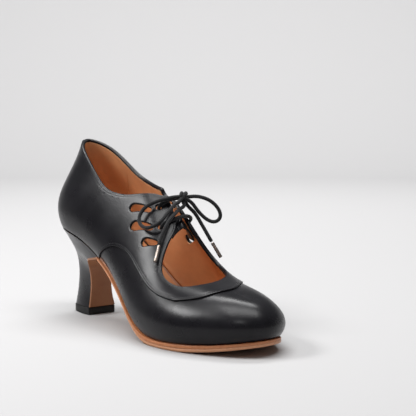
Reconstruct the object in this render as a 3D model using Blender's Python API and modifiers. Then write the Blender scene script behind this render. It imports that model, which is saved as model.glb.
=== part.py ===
"""Lace up heel, right shoe, EU 38: a hollow leather upper with a keyhole front on a high flared heel.

Metres. +X runs to the toe, +Y to the inner side of the foot, +Z up. The origin is on the floor,
under the heel's top lift.
"""

import math

import bmesh
import bpy
import numpy as np
from mathutils import Vector

# Driving sizes of the last
SHOE_LENGTH = 0.231        # from the back of the seat to the toe, along the feather edge
HEEL_HEIGHT = 0.0695       # the back of the seat above the floor
HEEL_OVERHANG = 0.0210     # the back of the seat behind the origin
BALL_HALF = 0.0390         # half width of the feather edge at the ball
SEAT_HALF = 0.0267         # half width that the top of the last is measured in
INSTEP_HEIGHT = 0.1040     # height that the crown line is measured in
BALL_HEIGHT = 0.0040       # the level that the bottom curve is measured from

# Walls and clearances
WALL = 0.0018              # vamp leather with its lining
OVERLAY = 0.0009           # leather of the quarter overlay
STRAP_THICK = 0.0014
TAB_THICK = 0.0008
GAP = 0.0003               # clearance between pieces that touch
INSOLE_THICK = 0.0020
SOLE_THICK = 0.0048
SOLE_PROUD = 0.0012        # the sole's edge beyond the upper
SOLE_ROUND = 0.0006        # rounding of the sole's edge
LIFT_HIGH = 0.0060
BREAST_THICK = 0.0012

# Openings
SKEW = -0.20               # how far the inner side's cuts lie further back, for each metre across
SIDE_HALF = 0.0190         # half the distance between a slot and its partner
EYELET_WIDE = 0.0042
CUT_REACH = 0.0080         # how far a cutter reaches past the wall

# The feather edge and the crown line, a row for each station from the back of the seat to the toe.
# along, crown_along: shares of the length. outer, inner: shares of the ball's half width.
# crown_half, lean: shares of the seat's half width. crown_high: share of the instep's height.
# bulge: metres. steep: 1 where the wall stands up to the collar, 0 where it closes over the foot.
# set_in: 1 where the upper gives way to the overlay, so that the overlay keeps the last's outline.
STATION_COLUMNS = (
    "along", "outer", "inner", "crown_along", "crown_half", "crown_high", "bulge", "steep", "lean", "set_in",
)
STATIONS = (
    (0.000, 0.000, 0.000, 0.070, 0.00, 1.355, 0.0030, 1.00, 0.00, 1.0),
    (0.020, 0.355, 0.355, 0.103, 0.38, 1.327, 0.0030, 1.00, 0.00, 1.0),
    (0.080, 0.645, 0.635, 0.175, 0.56, 1.267, 0.0032, 0.95, 0.00, 1.0),
    (0.165, 0.715, 0.695, 0.270, 0.52, 1.195, 0.0034, 0.80, 0.02, 1.0),
    (0.270, 0.700, 0.655, 0.368, 0.32, 1.120, 0.0036, 0.45, 0.12, 1.0),
    (0.380, 0.715, 0.600, 0.464, 0.09, 1.020, 0.0040, 0.12, 0.24, 1.0),
    (0.500, 0.845, 0.705, 0.546, 0.00, 0.850, 0.0043, 0.00, 0.24, 0.8),
    (0.610, 0.980, 0.895, 0.626, 0.00, 0.640, 0.0042, 0.00, 0.15, 0.4),
    (0.705, 1.000, 0.975, 0.702, 0.00, 0.476, 0.0040, 0.00, 0.06, 0.1),
    (0.800, 0.900, 0.935, 0.787, 0.00, 0.408, 0.0040, 0.00, 0.02, 0.0),
    (0.895, 0.655, 0.745, 0.858, 0.00, 0.386, 0.0036, 0.00, 0.00, 0.0),
    (0.970, 0.360, 0.440, 0.893, 0.00, 0.369, 0.0032, 0.00, 0.00, 0.0),
    (1.000, 0.030, 0.030, 0.901, 0.00, 0.363, 0.0030, 0.00, 0.00, 0.0),
)

# The bottom of the last from the side. along: share of the length. high: share of the heel's height
# above the ball. sole: share of the sole's thickness there.
BOTTOM_COLUMNS = ("along", "high", "sole")
BOTTOM = (
    (0.00, 1.000, 0.42), (0.08, 0.985, 0.42), (0.17, 0.925, 0.41), (0.26, 0.810, 0.40),
    (0.36, 0.608, 0.42), (0.46, 0.352, 0.50), (0.55, 0.140, 0.70), (0.63, 0.034, 1.00),
    (0.71, 0.012, 1.00), (0.80, 0.022, 1.00), (0.90, 0.056, 0.92), (1.00, 0.115, 0.82),
)

# Control points of a section from the feather edge to the crown line. Their columns are
# across, a share of the way to the crown in plan, up, a share of the height, and out, in bulges.
WALL_SECTION = (
    (0.00, 0.00, 0.0), (0.00, 0.10, 1.0), (0.04, 0.30, 1.9), (0.28, 0.52, 1.4),
    (0.58, 0.72, 0.5), (0.84, 0.88, 0.1), (1.00, 1.00, 0.0),
)
TOE_SECTION = (
    (0.00, 0.00, 0.0), (0.00, 0.14, 1.1), (0.01, 0.40, 1.7), (0.14, 0.74, 0.8),
    (0.42, 1.00, 0.0), (0.74, 1.00, 0.0), (1.00, 1.00, 0.0),
)
INSTEP_SECTION = (
    (0.00, 0.00, 0.0), (0.00, 0.10, 1.1), (0.05, 0.32, 1.7), (0.22, 0.60, 1.0),
    (0.46, 0.86, 0.0), (0.72, 1.00, 0.0), (1.00, 1.00, 0.0),
)
LOW_TOE = 0.036            # a section of this height is a toe section
TALL_INSTEP = 0.066        # a section of this height is an instep section
CROWN_CLOSED = 0.0012      # the two sides are one where their crown lines lie this near
RIDGE_NORMAL = 0.985       # how far up a section its direction outward is read
SECTION_KNOTS = (0.0, 0.0, 0.0, 0.0, 0.25, 0.5, 0.75, 1.0, 1.0, 1.0, 1.0)

# The collar from the side. along: share of the length. high: share of the instep's height.
# tilt: how much higher the inner side is than the middle, 20 mm out, as a share of that height.
COLLAR_COLUMNS = ("along", "high", "tilt")
COLLAR = (
    (-0.100, 1.462, 0.000), (0.050, 1.350, 0.000), (0.115, 1.284, 0.000), (0.205, 1.156, 0.000),
    (0.255, 1.078, 0.008), (0.300, 1.024, 0.022), (0.345, 0.994, 0.028), (0.395, 0.978, 0.026),
    (0.445, 0.978, 0.016), (0.485, 0.966, 0.002), (0.508, 0.944, 0.000),
)
TILT_REACH = 0.020

# The slit between the tabs and the keyhole that it runs into, in plan, forward by the outer side.
# along: share of the length. across: share of the ball's half width, to the inner side.
PLAN_COLUMNS = ("along", "across")
THROAT = (
    (0.420, 0.140), (0.462, 0.122), (0.504, 0.108), (0.540, 0.085), (0.568, 0.030), (0.590, -0.095),
    (0.605, -0.290), (0.620, -0.470), (0.638, -0.605), (0.664, -0.675), (0.694, -0.685), (0.728, -0.650),
    (0.756, -0.560), (0.773, -0.400), (0.777, -0.180), (0.766, 0.080), (0.746, 0.310), (0.716, 0.490),
    (0.680, 0.585), (0.642, 0.600), (0.608, 0.530), (0.584, 0.430), (0.558, 0.368), (0.530, 0.358),
    (0.496, 0.372), (0.458, 0.395), (0.420, 0.410),
)

# The lower edge of the quarter overlay's wings from the side, as it runs forward on the outer side.
EDGE_COLUMNS = ("along", "high")
OVERLAY_EDGE = (
    (0.290, 0.400), (0.322, 0.468), (0.338, 0.508), (0.361, 0.548), (0.393, 0.586), (0.428, 0.604),
    (0.465, 0.595), (0.507, 0.559), (0.557, 0.488), (0.621, 0.400), (0.674, 0.350), (0.729, 0.326),
    (0.770, 0.319), (0.820, 0.317),
)

# The overlay's round front in plan, from the outer side to the inner one, in the throat's columns.
OVERLAY_FRONT = (
    (0.690, -1.110), (0.740, -0.930), (0.784, -0.802), (0.814, -0.700), (0.843, -0.520), (0.856, -0.240),
    (0.848, 0.050), (0.822, 0.280), (0.784, 0.530), (0.740, 0.770), (0.706, 0.940), (0.671, 1.110),
)

# The slots behind the tabs, by their middles on the outer side. Their columns are along, a share of
# the length, high, a share of the instep's height, long and wide in metres, and rise in degrees.
SLOTS = (
    (0.470, 0.864, 0.0190, 0.0062, 8.0),
    (0.506, 0.748, 0.0200, 0.0074, 10.0),
    (0.560, 0.650, 0.0130, 0.0064, 16.0),
)
SLOT_TAPER = 0.55          # the front end's radius, as a share of the back end's

# The two pairs of eyelets, by their places on the outer side, in the collar's first two columns
EYELETS = ((0.517, 0.880), (0.561, 0.752))

# The strap across the top of the keyhole, and the tab over the back seam
BRIDGE_AT = 0.571          # share of the length at its middle
BRIDGE_SIDE = 0.0070       # its middle lies this far to the inner side
BRIDGE_LONG = 0.0290
BRIDGE_WIDE = 0.0090
BRIDGE_SLIT = 0.0046       # half the slit that it is raised in
BRIDGE_RISE = 0.0018
BRIDGE_SECTIONS = 21
BRIDGE_CROWD = 1.5         # how much closer its sections lie in the slit
BACK_TAB_HALF = 0.0130     # share of the way round the shoe
BACK_TAB_LOW = 0.76        # share of the way up the back
INSOLE_EASE = 0.0004       # room between insole and wall beyond the clearance
INSOLE_ENDS = (0.004, 0.496)   # shares of the way round where its first and last sections lie
SOLE_END = 0.4965          # share of the way round where the sole's last section lies

# The flared heel. Its columns are level, a share of the height from the lift to the seat, back, front
# and half in metres, and seat, how much of the ring follows the seat's outline.
HEEL = (
    (0.00, -0.0180, 0.0122, 0.0117, 0.00), (0.10, -0.0166, 0.0118, 0.0107, 0.00),
    (0.24, -0.0151, 0.0114, 0.0097, 0.00), (0.40, -0.0144, 0.0113, 0.0092, 0.00),
    (0.54, -0.0150, 0.0114, 0.0096, 0.00), (0.66, -0.0166, 0.0117, 0.0107, 0.02),
    (0.76, -0.0185, 0.0124, 0.0127, 0.08), (0.85, -0.0203, 0.0138, 0.0158, 0.20),
    (0.93, -0.0210, 0.0172, 0.0197, 0.44), (1.00, -0.0210, 0.0300, 0.0240, 1.00),
)
HEEL_FRONT_AT = 0.303      # share of the length where the heel's top ends and the sole starts
HEEL_ROUND = 2.5           # power of the rings' round back
LIFT_BEVEL = 0.0004
LIFT_BACK = -0.0185
LIFT_FRONT = 0.0126
LIFT_HALF = 0.0122

# The round lace. A route's columns are along, a share of the length, across, a share of the ball's half
# width to the inner side, and high, a share of the instep's height.
LACE = 0.0027              # diameter
AGLET = 0.0026             # diameter of the metal tips
LACE_STEP = 2.2            # diameters from point to point along a strand
KNOT_AT = ((0.546, 0.297, 0.946),)
KNOT_AXIS = (0.62, 0.78, 0.0)
KNOT_ROUND = 0.0028        # radius of the wrap round the bow's middle
KNOT_TURNS = 1.4
KNOT_PITCH = 0.0029
BAR_UPPER = (
    (0.522, -0.177, 0.892), (0.524, -0.123, 0.902), (0.525, -0.049, 0.912), (0.525, 0.036, 0.923),
    (0.524, 0.141, 0.930), (0.519, 0.254, 0.932), (0.510, 0.351, 0.926), (0.498, 0.418, 0.906),
    (0.487, 0.459, 0.887),
)
BAR_LOWER = (
    (0.565, -0.318, 0.764), (0.568, -0.249, 0.777), (0.571, -0.156, 0.791), (0.572, -0.036, 0.803),
    (0.571, 0.108, 0.813), (0.565, 0.262, 0.815), (0.555, 0.403, 0.804), (0.541, 0.485, 0.780),
    (0.529, 0.536, 0.759),
)
LOOP_OUTER = (
    (0.538, 0.236, 0.947), (0.539, 0.118, 0.947), (0.537, 0.010, 0.942), (0.530, -0.128, 0.932),
    (0.518, -0.262, 0.913), (0.505, -0.385, 0.885), (0.499, -0.472, 0.846), (0.502, -0.533, 0.804),
    (0.516, -0.559, 0.767), (0.539, -0.544, 0.748), (0.561, -0.482, 0.760), (0.575, -0.364, 0.792),
    (0.572, -0.221, 0.835), (0.565, -0.067, 0.877), (0.558, 0.082, 0.908), (0.557, 0.149, 0.917),
)
LOOP_INNER = (
    (0.555, 0.359, 0.947), (0.569, 0.456, 0.950), (0.584, 0.569, 0.942), (0.599, 0.682, 0.919),
    (0.611, 0.774, 0.881), (0.618, 0.826, 0.837), (0.618, 0.821, 0.796), (0.610, 0.759, 0.773),
    (0.596, 0.662, 0.781), (0.583, 0.569, 0.815), (0.572, 0.482, 0.862), (0.565, 0.405, 0.904),
)
END_OUTER = (
    (0.557, 0.262, 0.896), (0.564, 0.128, 0.867), (0.573, -0.010, 0.842), (0.582, -0.149, 0.815),
    (0.590, -0.292, 0.767), (0.596, -0.410, 0.710), (0.600, -0.477, 0.671), (0.603, -0.513, 0.643),
)
END_INNER = (
    (0.552, 0.354, 0.890), (0.565, 0.446, 0.842), (0.577, 0.518, 0.787), (0.590, 0.569, 0.731),
    (0.603, 0.610, 0.679), (0.614, 0.651, 0.633),
)
TIP_OUTER = (
    (0.604, -0.521, 0.638), (0.625, -0.700, 0.537),
)
TIP_INNER = (
    (0.615, 0.656, 0.628), (0.639, 0.754, 0.525),
)

# How finely the faceted solids follow the curves
COLUMNS_AROUND = 64
ROWS_UP = (0.0, 0.06, 0.14, 0.23, 0.33, 0.44, 0.55, 0.66, 0.77, 0.88, 1.0)
SOLE_SECTIONS = 24
HEEL_BACK_POINTS = 21
HEEL_FRONT_POINTS = 5
ROUND_STEPS = 6
COLLAR_SECTIONS = 14
MERGE = 0.00001


def column(table, names, name):
    """One named column of a table, as an array."""
    return np.array([row[names.index(name)] for row in table])


def smooth_through(knots, rows, at, period=None):
    """Cubic spline through the rows at the knots, with free ends, or closed when a period is given."""
    knots, rows, at = np.asarray(knots, float), np.asarray(rows, float), np.asarray(at, float)
    if period is not None:
        wrap = 4
        knots = np.concatenate([knots[-wrap:] - period, knots, knots[:wrap] + period])
        rows = np.concatenate([rows[-wrap:], rows, rows[:wrap]])
        at = np.mod(at, period)
    count = len(knots)
    step = np.diff(knots)
    inner = np.arange(1, count - 1)
    system = np.eye(count)
    system[inner, inner - 1] = step[:-1]
    system[inner, inner] = 2 * (step[:-1] + step[1:])
    system[inner, inner + 1] = step[1:]
    slope = np.diff(rows, axis=0) / step.reshape((-1,) + (1,) * (rows.ndim - 1))
    right = np.zeros(rows.shape)
    right[1:-1] = 6 * np.diff(slope, axis=0)
    bend = np.linalg.solve(system, right.reshape(count, -1)).reshape(rows.shape)
    k = np.clip(np.searchsorted(knots, at, side="right") - 1, 0, count - 2)
    shape = at.shape + (1,) * (rows.ndim - 1)
    width = step[k].reshape(shape)
    b = ((at - knots[k]) / step[k]).reshape(shape)
    a = 1 - b
    return a * rows[k] + b * rows[k + 1] + ((a**3 - a) * bend[k] + (b**3 - b) * bend[k + 1]) * width**2 / 6


def place_along(share):
    """X of a share of the shoe's length, counted from the back of the seat."""
    return np.asarray(share) * SHOE_LENGTH - HEEL_OVERHANG


def bottom_height(x):
    """Height of the last's bottom at x."""
    share = (np.asarray(x) + HEEL_OVERHANG) / SHOE_LENGTH
    high = smooth_through(
        column(BOTTOM, BOTTOM_COLUMNS, "along"), column(BOTTOM, BOTTOM_COLUMNS, "high"), share)
    return BALL_HEIGHT + high * (HEEL_HEIGHT - BALL_HEIGHT)


def sole_underside(x):
    """Height of the sole's underside at x, which is flat on the floor under the ball."""
    share = (np.asarray(x) + HEEL_OVERHANG) / SHOE_LENGTH
    thick = smooth_through(
        column(BOTTOM, BOTTOM_COLUMNS, "along"), column(BOTTOM, BOTTOM_COLUMNS, "sole"), share)
    return np.maximum(bottom_height(x) - GAP - SOLE_THICK * thick, 0.0)


def station_rings():
    """The feather edge and the crown line at the stations, round the outer side and back by the inner."""
    table = {name: column(STATIONS, STATION_COLUMNS, name) for name in STATION_COLUMNS}
    back_again = np.arange(len(STATIONS) - 2, 0, -1)
    order = np.concatenate([np.arange(len(STATIONS)), back_again])
    side = np.concatenate([-np.ones(len(STATIONS)), np.ones(len(back_again))])
    values = {name: entries[order] for name, entries in table.items()}
    half = np.where(side < 0, values["outer"], values["inner"])
    feather_x = place_along(values["along"])
    feather = np.stack([feather_x, side * half * BALL_HALF, bottom_height(feather_x)], -1)
    feather[len(STATIONS) - 1, 1] = 0.0
    crown = np.stack([
        place_along(values["crown_along"]),
        (side * values["crown_half"] + values["lean"]) * SEAT_HALF,
        values["crown_high"] * INSTEP_HEIGHT,
    ], -1)
    return feather, crown, values


def ring_knots(feather):
    """Knots of the rings: the mean length of both sides from station to station, over the whole round."""
    count = len(STATIONS)
    step = np.linalg.norm(np.diff(np.concatenate([feather, feather[:1]]), axis=0), axis=1)
    half = (step[:count - 1] + step[:count - 2:-1]) / 2
    whole = np.concatenate([[0], np.cumsum(np.concatenate([half, half[::-1]]))])
    return whole[:-1] / whole[-1]


def crown_fall(crown):
    """Fall of the crown line for each metre forward, at each station of the ring."""
    count = len(STATIONS)
    line = crown[:count]
    fall = np.zeros(count)
    fall[1:-1] = -(line[2:, 2] - line[:-2, 2]) / (line[2:, 0] - line[:-2, 0])
    fall[0] = fall[1]
    fall[-2:] = fall[-3]
    return np.concatenate([fall, fall[-2:0:-1]])


def ring_direction(knots, feather, around):
    """A short step along the feather edge at places round the ring."""
    small = 1e-4
    ahead = smooth_through(knots, feather, around + small, 1.0)
    return ahead - smooth_through(knots, feather, around - small, 1.0)


def outward_plan(knots, feather):
    """Unit vectors in plan that point out of the feather edge at the knots."""
    ahead = ring_direction(knots, feather, knots)
    out = np.stack([ahead[:, 1], -ahead[:, 0], 0 * ahead[:, 0]], -1)
    return out / np.linalg.norm(out, axis=1)[:, None]


def section_controls():
    """Knots round the ring, and seven control points for the section at each of them.

    In plan a control lies between feather and crown by its share, pushed out by the bulge. Its height
    is a share of the crown's, which follows the slope of the instep where the section closes over it.
    """
    feather, crown, values = station_rings()
    knots = ring_knots(feather)
    out = outward_plan(knots, feather)
    high = (crown[:, 2] - feather[:, 2])[:, None, None]
    tall = np.clip((high - LOW_TOE) / (TALL_INSTEP - LOW_TOE), 0, 1)
    steep = values["steep"][:, None, None]
    closing = np.array(TOE_SECTION) * (1 - tall) + np.array(INSTEP_SECTION) * tall
    section = closing * (1 - steep) + np.array(WALL_SECTION) * steep
    across, up, push = section[..., 0:1], section[..., 1], section[..., 2:3]
    points = feather[:, None] * (1 - across) + crown[:, None] * across
    points = points + push * values["bulge"][:, None, None] * out[:, None]
    forward = points[..., 0] - crown[:, None, 0]
    follow = (1 - steep[..., 0]) * np.clip(up * 2 - 1, 0, 1)
    top = crown[:, None, 2] - crown_fall(crown)[:, None] * forward * follow
    points[..., 2] = feather[:, None, 2] * (1 - up) + up * top
    return knots, points


def blend_section(points, up):
    """Cubic B-spline of seven control points, from 0 at the feather edge to 1 at the crown line."""
    knots = SECTION_KNOTS
    up = np.clip(up, 0, 1 - 1e-12)
    weights = [((knots[i] <= up) & (up < knots[i + 1])).astype(float) for i in range(10)]
    for degree in (1, 2, 3):
        raised = []
        for i in range(10 - degree):
            rise, fall = knots[i + degree] - knots[i], knots[i + degree + 1] - knots[i + 1]
            left = (up - knots[i]) / rise * weights[i] if rise > 0 else 0 * up
            right = (knots[i + degree + 1] - up) / fall * weights[i + 1] if fall > 0 else 0 * up
            raised.append(left + right)
        weights = raised
    return sum(weight[..., None] * points[..., i, :] for i, weight in enumerate(weights))


def last_surface(around, up):
    """Point of the last's surface. around: 0 at the back, by the outer side to 0.5 at the toe, to 1."""
    knots, points = section_controls()
    return blend_section(smooth_through(knots, points, around, 1.0), np.asarray(up, float))


def last_normals(around, up):
    """Unit normals that point out of the shoe, from steps along the surface beside each place."""
    small = 1e-3
    up = np.clip(up, 2 * small, RIDGE_NORMAL)
    round_step = last_surface(around + small, up) - last_surface(around - small, up)
    up_step = last_surface(around, up + small) - last_surface(around, up - small)
    normals = np.cross(round_step, up_step)
    return normals / np.linalg.norm(normals, axis=-1)[..., None]


def last_grid(around, rows, offset):
    """Grid of the last's surface, moved out by an offset and in by the overlay's room at each column.

    The two sides meet along the crown line from the instep forward, so there they share its points.
    """
    columns, ups = np.meshgrid(around, rows, indexing="ij")
    grid = last_surface(columns, ups)
    normals = last_normals(columns, ups)
    mirror = (-np.arange(len(around))) % len(around)
    closed = np.abs(grid[:, -1, 1] - grid[mirror, -1, 1]) < CROWN_CLOSED
    grid[:, -1] = np.where(closed[:, None], (grid[:, -1] + grid[mirror, -1]) / 2, grid[:, -1])
    level = np.where(closed[:, None], normals[:, -1] + normals[mirror, -1], normals[:, -1])
    normals[:, -1] = level / np.linalg.norm(level, axis=-1)[..., None]
    feather, _, values = station_rings()
    set_in = smooth_through(ring_knots(feather), values["set_in"], around, 1.0)
    room = (OVERLAY + GAP) * np.clip(set_in, 0, 1)
    return grid + normals * (offset - room)[:, None, None]


def even_columns():
    """Columns of the faceted solids, evenly spaced round the ring."""
    return np.arange(COLUMNS_AROUND) / COLUMNS_AROUND


def side_point(x, z, side):
    """Point and normal of the overlay's outer face where x and z are given, on the side -1 or 1."""
    around = np.linspace(0.0, 0.5, 361)[1:-1]
    around = around if side < 0 else 1 - around
    ups = np.linspace(0, 1, 161)
    grid = last_surface(*np.meshgrid(around, ups, indexing="ij"))
    far = np.hypot(grid[..., 0] - x, grid[..., 2] - z)
    column_at, row_at = np.unravel_index(far.argmin(), far.shape)
    return grid[column_at, row_at], last_normals(around[column_at], ups[row_at])


def inner_place(x, half):
    """X of a cut on the inner side, whose partner on the outer side is at x, half across."""
    return x + SKEW * 2 * half


def material(name, colour, roughness, metallic=0.0):
    """A plain Principled material."""
    made = bpy.data.materials.new(name)
    made.use_nodes = True
    shader = made.node_tree.nodes["Principled BSDF"]
    shader.inputs["Base Color"].default_value = (*colour, 1.0)
    shader.inputs["Roughness"].default_value = roughness
    shader.inputs["Metallic"].default_value = metallic
    return made


def new_object(name, mesh, collection, finish=None):
    """An object for a mesh, in a collection, with its material."""
    made = bpy.data.objects.new(name, mesh)
    collection.objects.link(made)
    if finish is not None:
        mesh.materials.append(finish)
    return made


def mesh_from(name, points, faces, sheet=False):
    """A mesh of points and faces: a sheet whose doubled points are merged, or a solid turned outward."""
    mesh = bpy.data.meshes.new(name)
    mesh.from_pydata([tuple(p) for p in points], [], faces)
    work = bmesh.new()
    work.from_mesh(mesh)
    if sheet:
        bmesh.ops.remove_doubles(work, verts=work.verts, dist=MERGE)
    else:
        bmesh.ops.recalc_face_normals(work, faces=work.faces)
    work.to_mesh(mesh)
    work.free()
    mesh.shade_smooth()
    mesh.set_sharp_from_angle(angle=math.radians(40))
    return mesh


def sheet_faces(count_round, count_up, closed_round):
    """Triangles of a grid whose points are stored column by column, halved alike on every sheet."""
    last = count_round if closed_round else count_round - 1
    faces = []
    for i in range(last):
        j = (i + 1) % count_round
        for k in range(count_up - 1):
            low, high = i * count_up + k, j * count_up + k
            faces.append((low, high, high + 1))
            faces.append((low, high + 1, low + 1))
    return faces


def loft(name, sections):
    """A closed solid through rings of equally many points, with flat ends."""
    count = len(sections[0])
    points = np.concatenate(sections)
    faces = []
    for s in range(len(sections) - 1):
        for i in range(count):
            j = (i + 1) % count
            low, high = s * count, (s + 1) * count
            faces.append((low + i, low + j, high + j, high + i))
    faces.append(tuple(range(count)))
    faces.append(tuple(range((len(sections) - 1) * count, len(sections) * count)))
    return mesh_from(name, points, faces)


def cutter(name, sections, collection):
    """A lofted solid that only cuts."""
    made = new_object(name, loft(name, sections), collection)
    made.hide_render = True
    made.display_type = "WIRE"
    return made


def add_wall(made, thickness, side):
    """Give an open sheet a wall, outward from its faces with side 1 or inward with side -1."""
    wall = made.modifiers.new("wall", "SOLIDIFY")
    wall.thickness = thickness
    wall.offset = side
    wall.use_even_offset = True
    wall.use_rim = True


def add_cut(made, tool):
    """Cut a piece by a cutter."""
    cut = made.modifiers.new("cut_" + tool.name, "BOOLEAN")
    cut.operation = "DIFFERENCE"
    cut.solver = "EXACT"
    cut.object = tool


def plan_rows(table):
    """A table's places in plan, as rows of x and y."""
    along, across = column(table, PLAN_COLUMNS, "along"), column(table, PLAN_COLUMNS, "across")
    return np.column_stack([place_along(along), across * BALL_HALF])


def step_knots(rows):
    """How far along the rows each of them lies, from step to step."""
    return np.concatenate([[0], np.cumsum(np.linalg.norm(np.diff(rows, axis=0), axis=1))])


def throat_curve():
    """Closed smooth curve in plan of the slit and keyhole, three points for each row."""
    rows = plan_rows(THROAT)
    knots = step_knots(np.concatenate([rows, rows[:1]]))
    at = np.linspace(0, knots[-1], 3 * len(rows), endpoint=False)
    return smooth_through(knots[:-1], rows, at, knots[-1])


def upright(plan, low, high):
    """Two rings that stand a plan outline up between two heights."""
    return [np.column_stack([plan, np.full(len(plan), z)]) for z in (low, high)]


def collar_cutter(collection):
    """Everything above the collar's curve, which rises to the inner side by its tilt."""
    rows = [column(COLLAR, COLLAR_COLUMNS, name) for name in COLLAR_COLUMNS]
    along = np.linspace(rows[0][0], rows[0][-1], 34)
    x = place_along(along)
    high = smooth_through(rows[0], rows[1], along) * INSTEP_HEIGHT
    tilt = smooth_through(rows[0], rows[2], along) * INSTEP_HEIGHT / TILT_REACH
    top = 2 * INSTEP_HEIGHT
    sections = []
    for y in np.linspace(-BALL_HALF, BALL_HALF, COLLAR_SECTIONS):
        edge = np.column_stack([x, np.full(len(x), y), high + tilt * y])
        lid = np.array([(x[-1], y, top), (x[0], y, top)])
        sections.append(np.concatenate([edge, lid]))
    return cutter("collar_cutter", sections, collection)


def overlay_cutters(collection):
    """What lies below the overlay's wings, carried across with the skew, and what lies ahead of its front."""
    along = np.linspace(OVERLAY_EDGE[0][0], OVERLAY_EDGE[-1][0], 36)
    high = smooth_through(
        column(OVERLAY_EDGE, EDGE_COLUMNS, "along"), column(OVERLAY_EDGE, EDGE_COLUMNS, "high"), along)
    x, z = place_along(along), high * INSTEP_HEIGHT
    front, under = place_along(1.2), -INSTEP_HEIGHT
    sections = []
    for y in (-2 * BALL_HALF, 2 * BALL_HALF):
        shift = SKEW * (y + BALL_HALF)
        edge = np.column_stack([x + shift, np.full(len(x), y), z])
        lid = np.array([(front, y, z[-1]), (front, y, under), (x[0] + shift, y, under)])
        sections.append(np.concatenate([edge, lid]))
    below = cutter("overlay_edge_cutter", sections, collection)
    rows = plan_rows(OVERLAY_FRONT)
    knots = step_knots(rows)
    arc = smooth_through(knots, rows, np.linspace(0, knots[-1], 3 * len(rows)))
    lid = np.array([(front, arc[-1][1]), (front, arc[0][1])])
    ahead = upright(np.concatenate([arc, lid]), under, -under)
    return [below, cutter("overlay_front_cutter", ahead, collection)]


def across_frame(normal, rise, side):
    """Two directions in the surface, forward with a rise and square to it, for a normal."""
    normal = Vector(normal)
    forward = Vector((math.cos(rise), 0, math.sin(rise)))
    forward = (forward - normal * forward.dot(normal)).normalized()
    return np.array(forward), np.array(normal.cross(forward)) * side


def slot_outline(long, wide):
    """A slot's outline: a round back end, straight sides and a smaller round front end."""
    big, small = wide / 2, wide / 2 * SLOT_TAPER
    reach = long - big - small
    lean = math.asin((big - small) / reach)
    back = np.linspace(math.pi / 2 - lean, 3 * math.pi / 2 + lean, 2 * ROUND_STEPS)
    front = np.linspace(-math.pi / 2 + lean, math.pi / 2 - lean, 2 * ROUND_STEPS)
    tail = np.column_stack([big * np.cos(back) - reach / 2, big * np.sin(back)])
    tip = np.column_stack([small * np.cos(front) + reach / 2, small * np.sin(front)])
    return np.concatenate([tail, tip])


def side_cutter(name, x, z, side, outline, rise, collection):
    """A cutter square to the surface at a place on one side, with an outline in its own plane."""
    point, normal = side_point(x, z, side)
    forward, square = across_frame(normal, math.radians(rise), side)
    flat = point + outline[:, :1] * forward + outline[:, 1:] * square
    return cutter(name, [flat - normal * CUT_REACH, flat + normal * CUT_REACH], collection)


def opening_cutters(collection):
    """Cutters of the throat, collar, slots and eyelets, which upper and overlay share."""
    low, high = INSTEP_HEIGHT * 0.3, INSTEP_HEIGHT * 1.3
    throat = cutter("throat_cutter", upright(throat_curve(), low, high), collection)
    tools = [throat, collar_cutter(collection)]
    turn = np.linspace(0, 2 * math.pi, 2 * ROUND_STEPS, endpoint=False)
    ring = np.column_stack([np.cos(turn), np.sin(turn)]) * EYELET_WIDE / 2
    for side, word in ((-1, "outer"), (1, "inner")):
        for number, (along, high, long, wide, rise) in enumerate(SLOTS, 1):
            x, z = side_place(along, high, side)
            outline = slot_outline(long, wide)
            tools.append(side_cutter("slot_%s_%d" % (word, number), x, z, side, outline, rise, collection))
        for number, (along, high) in enumerate(EYELETS, 1):
            x, z = side_place(along, high, side)
            tools.append(side_cutter("eyelet_%s_%d" % (word, number), x, z, side, ring, 0.0, collection))
    return tools


def side_place(along, high, side):
    """X and Z of a cut that is given on the outer side, further back on the inner side by the skew."""
    x, z = float(place_along(along)), high * INSTEP_HEIGHT
    if side > 0:
        x = inner_place(x, SIDE_HALF)
    return x, z


def make_upper(collection, finish, tools):
    """The hollow shell over the whole last, open underneath, with every opening cut."""
    grid = last_grid(even_columns(), np.array(ROWS_UP), 0.0)
    mesh = mesh_from("upper", grid.reshape(-1, 3), sheet_faces(len(grid), len(ROWS_UP), True), sheet=True)
    made = new_object("upper", mesh, collection, finish)
    add_wall(made, WALL, -1)
    for tool in tools:
        add_cut(made, tool)
    return made


def make_quarter(collection, finish, tools):
    """The overlay of quarters and apron, cut from the upper's own surface outside it."""
    grid = last_grid(even_columns(), np.array(ROWS_UP), GAP)
    mesh = mesh_from("quarter", grid.reshape(-1, 3), sheet_faces(len(grid), len(ROWS_UP), True), sheet=True)
    made = new_object("quarter", mesh, collection, finish)
    add_wall(made, OVERLAY, 1)
    for tool in tools:
        add_cut(made, tool)
    return made


def feather_outline(around, out):
    """Points of the feather edge in plan, moved out from it, as rows of x and y."""
    feather, _, _ = station_rings()
    knots = ring_knots(feather)
    ahead = ring_direction(knots, feather, around)
    normal = np.stack([ahead[:, 1], -ahead[:, 0]], -1)
    normal = normal / np.linalg.norm(normal, axis=1)[:, None]
    return smooth_through(knots, feather, around, 1.0)[:, :2] + normal * np.reshape(out, (-1, 1))


def around_at(x):
    """Place round the ring where the outer side's feather edge is at x."""
    around = np.linspace(0, 0.5, 721)
    return np.interp(x, feather_outline(around, 0.0)[:, 0], around)


def slab_sections(around, out, top, under, edge_round):
    """Rings of ten points across a slab between both sides of the outline, with rounded edges.

    top and under give the slab's heights at x. The rounding takes at most a third of the width.
    """
    outer = feather_outline(around, out)
    inner = feather_outline(1 - around, out)
    sections = []
    for a, b in zip(outer, inner):
        width = np.linalg.norm(b - a)
        across = (b - a) / width
        soft = min(edge_round, width / 3)
        places = [soft, 0, 0, soft, width / 2, width - soft, width, width, width - soft, width / 2]
        edge = [(1, 0), (1, -soft), (0, soft), (0, 0)]
        levels = edge + [(0, 0)] + edge[::-1] + [(1, 0)]
        ring = []
        for place, (on_top, shift) in zip(places, levels):
            x, y = a + across * place
            z = float(top(x) if on_top else under(x))
            ring.append((x, y, z + shift))
        sections.append(np.array(ring))
    return sections


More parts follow.
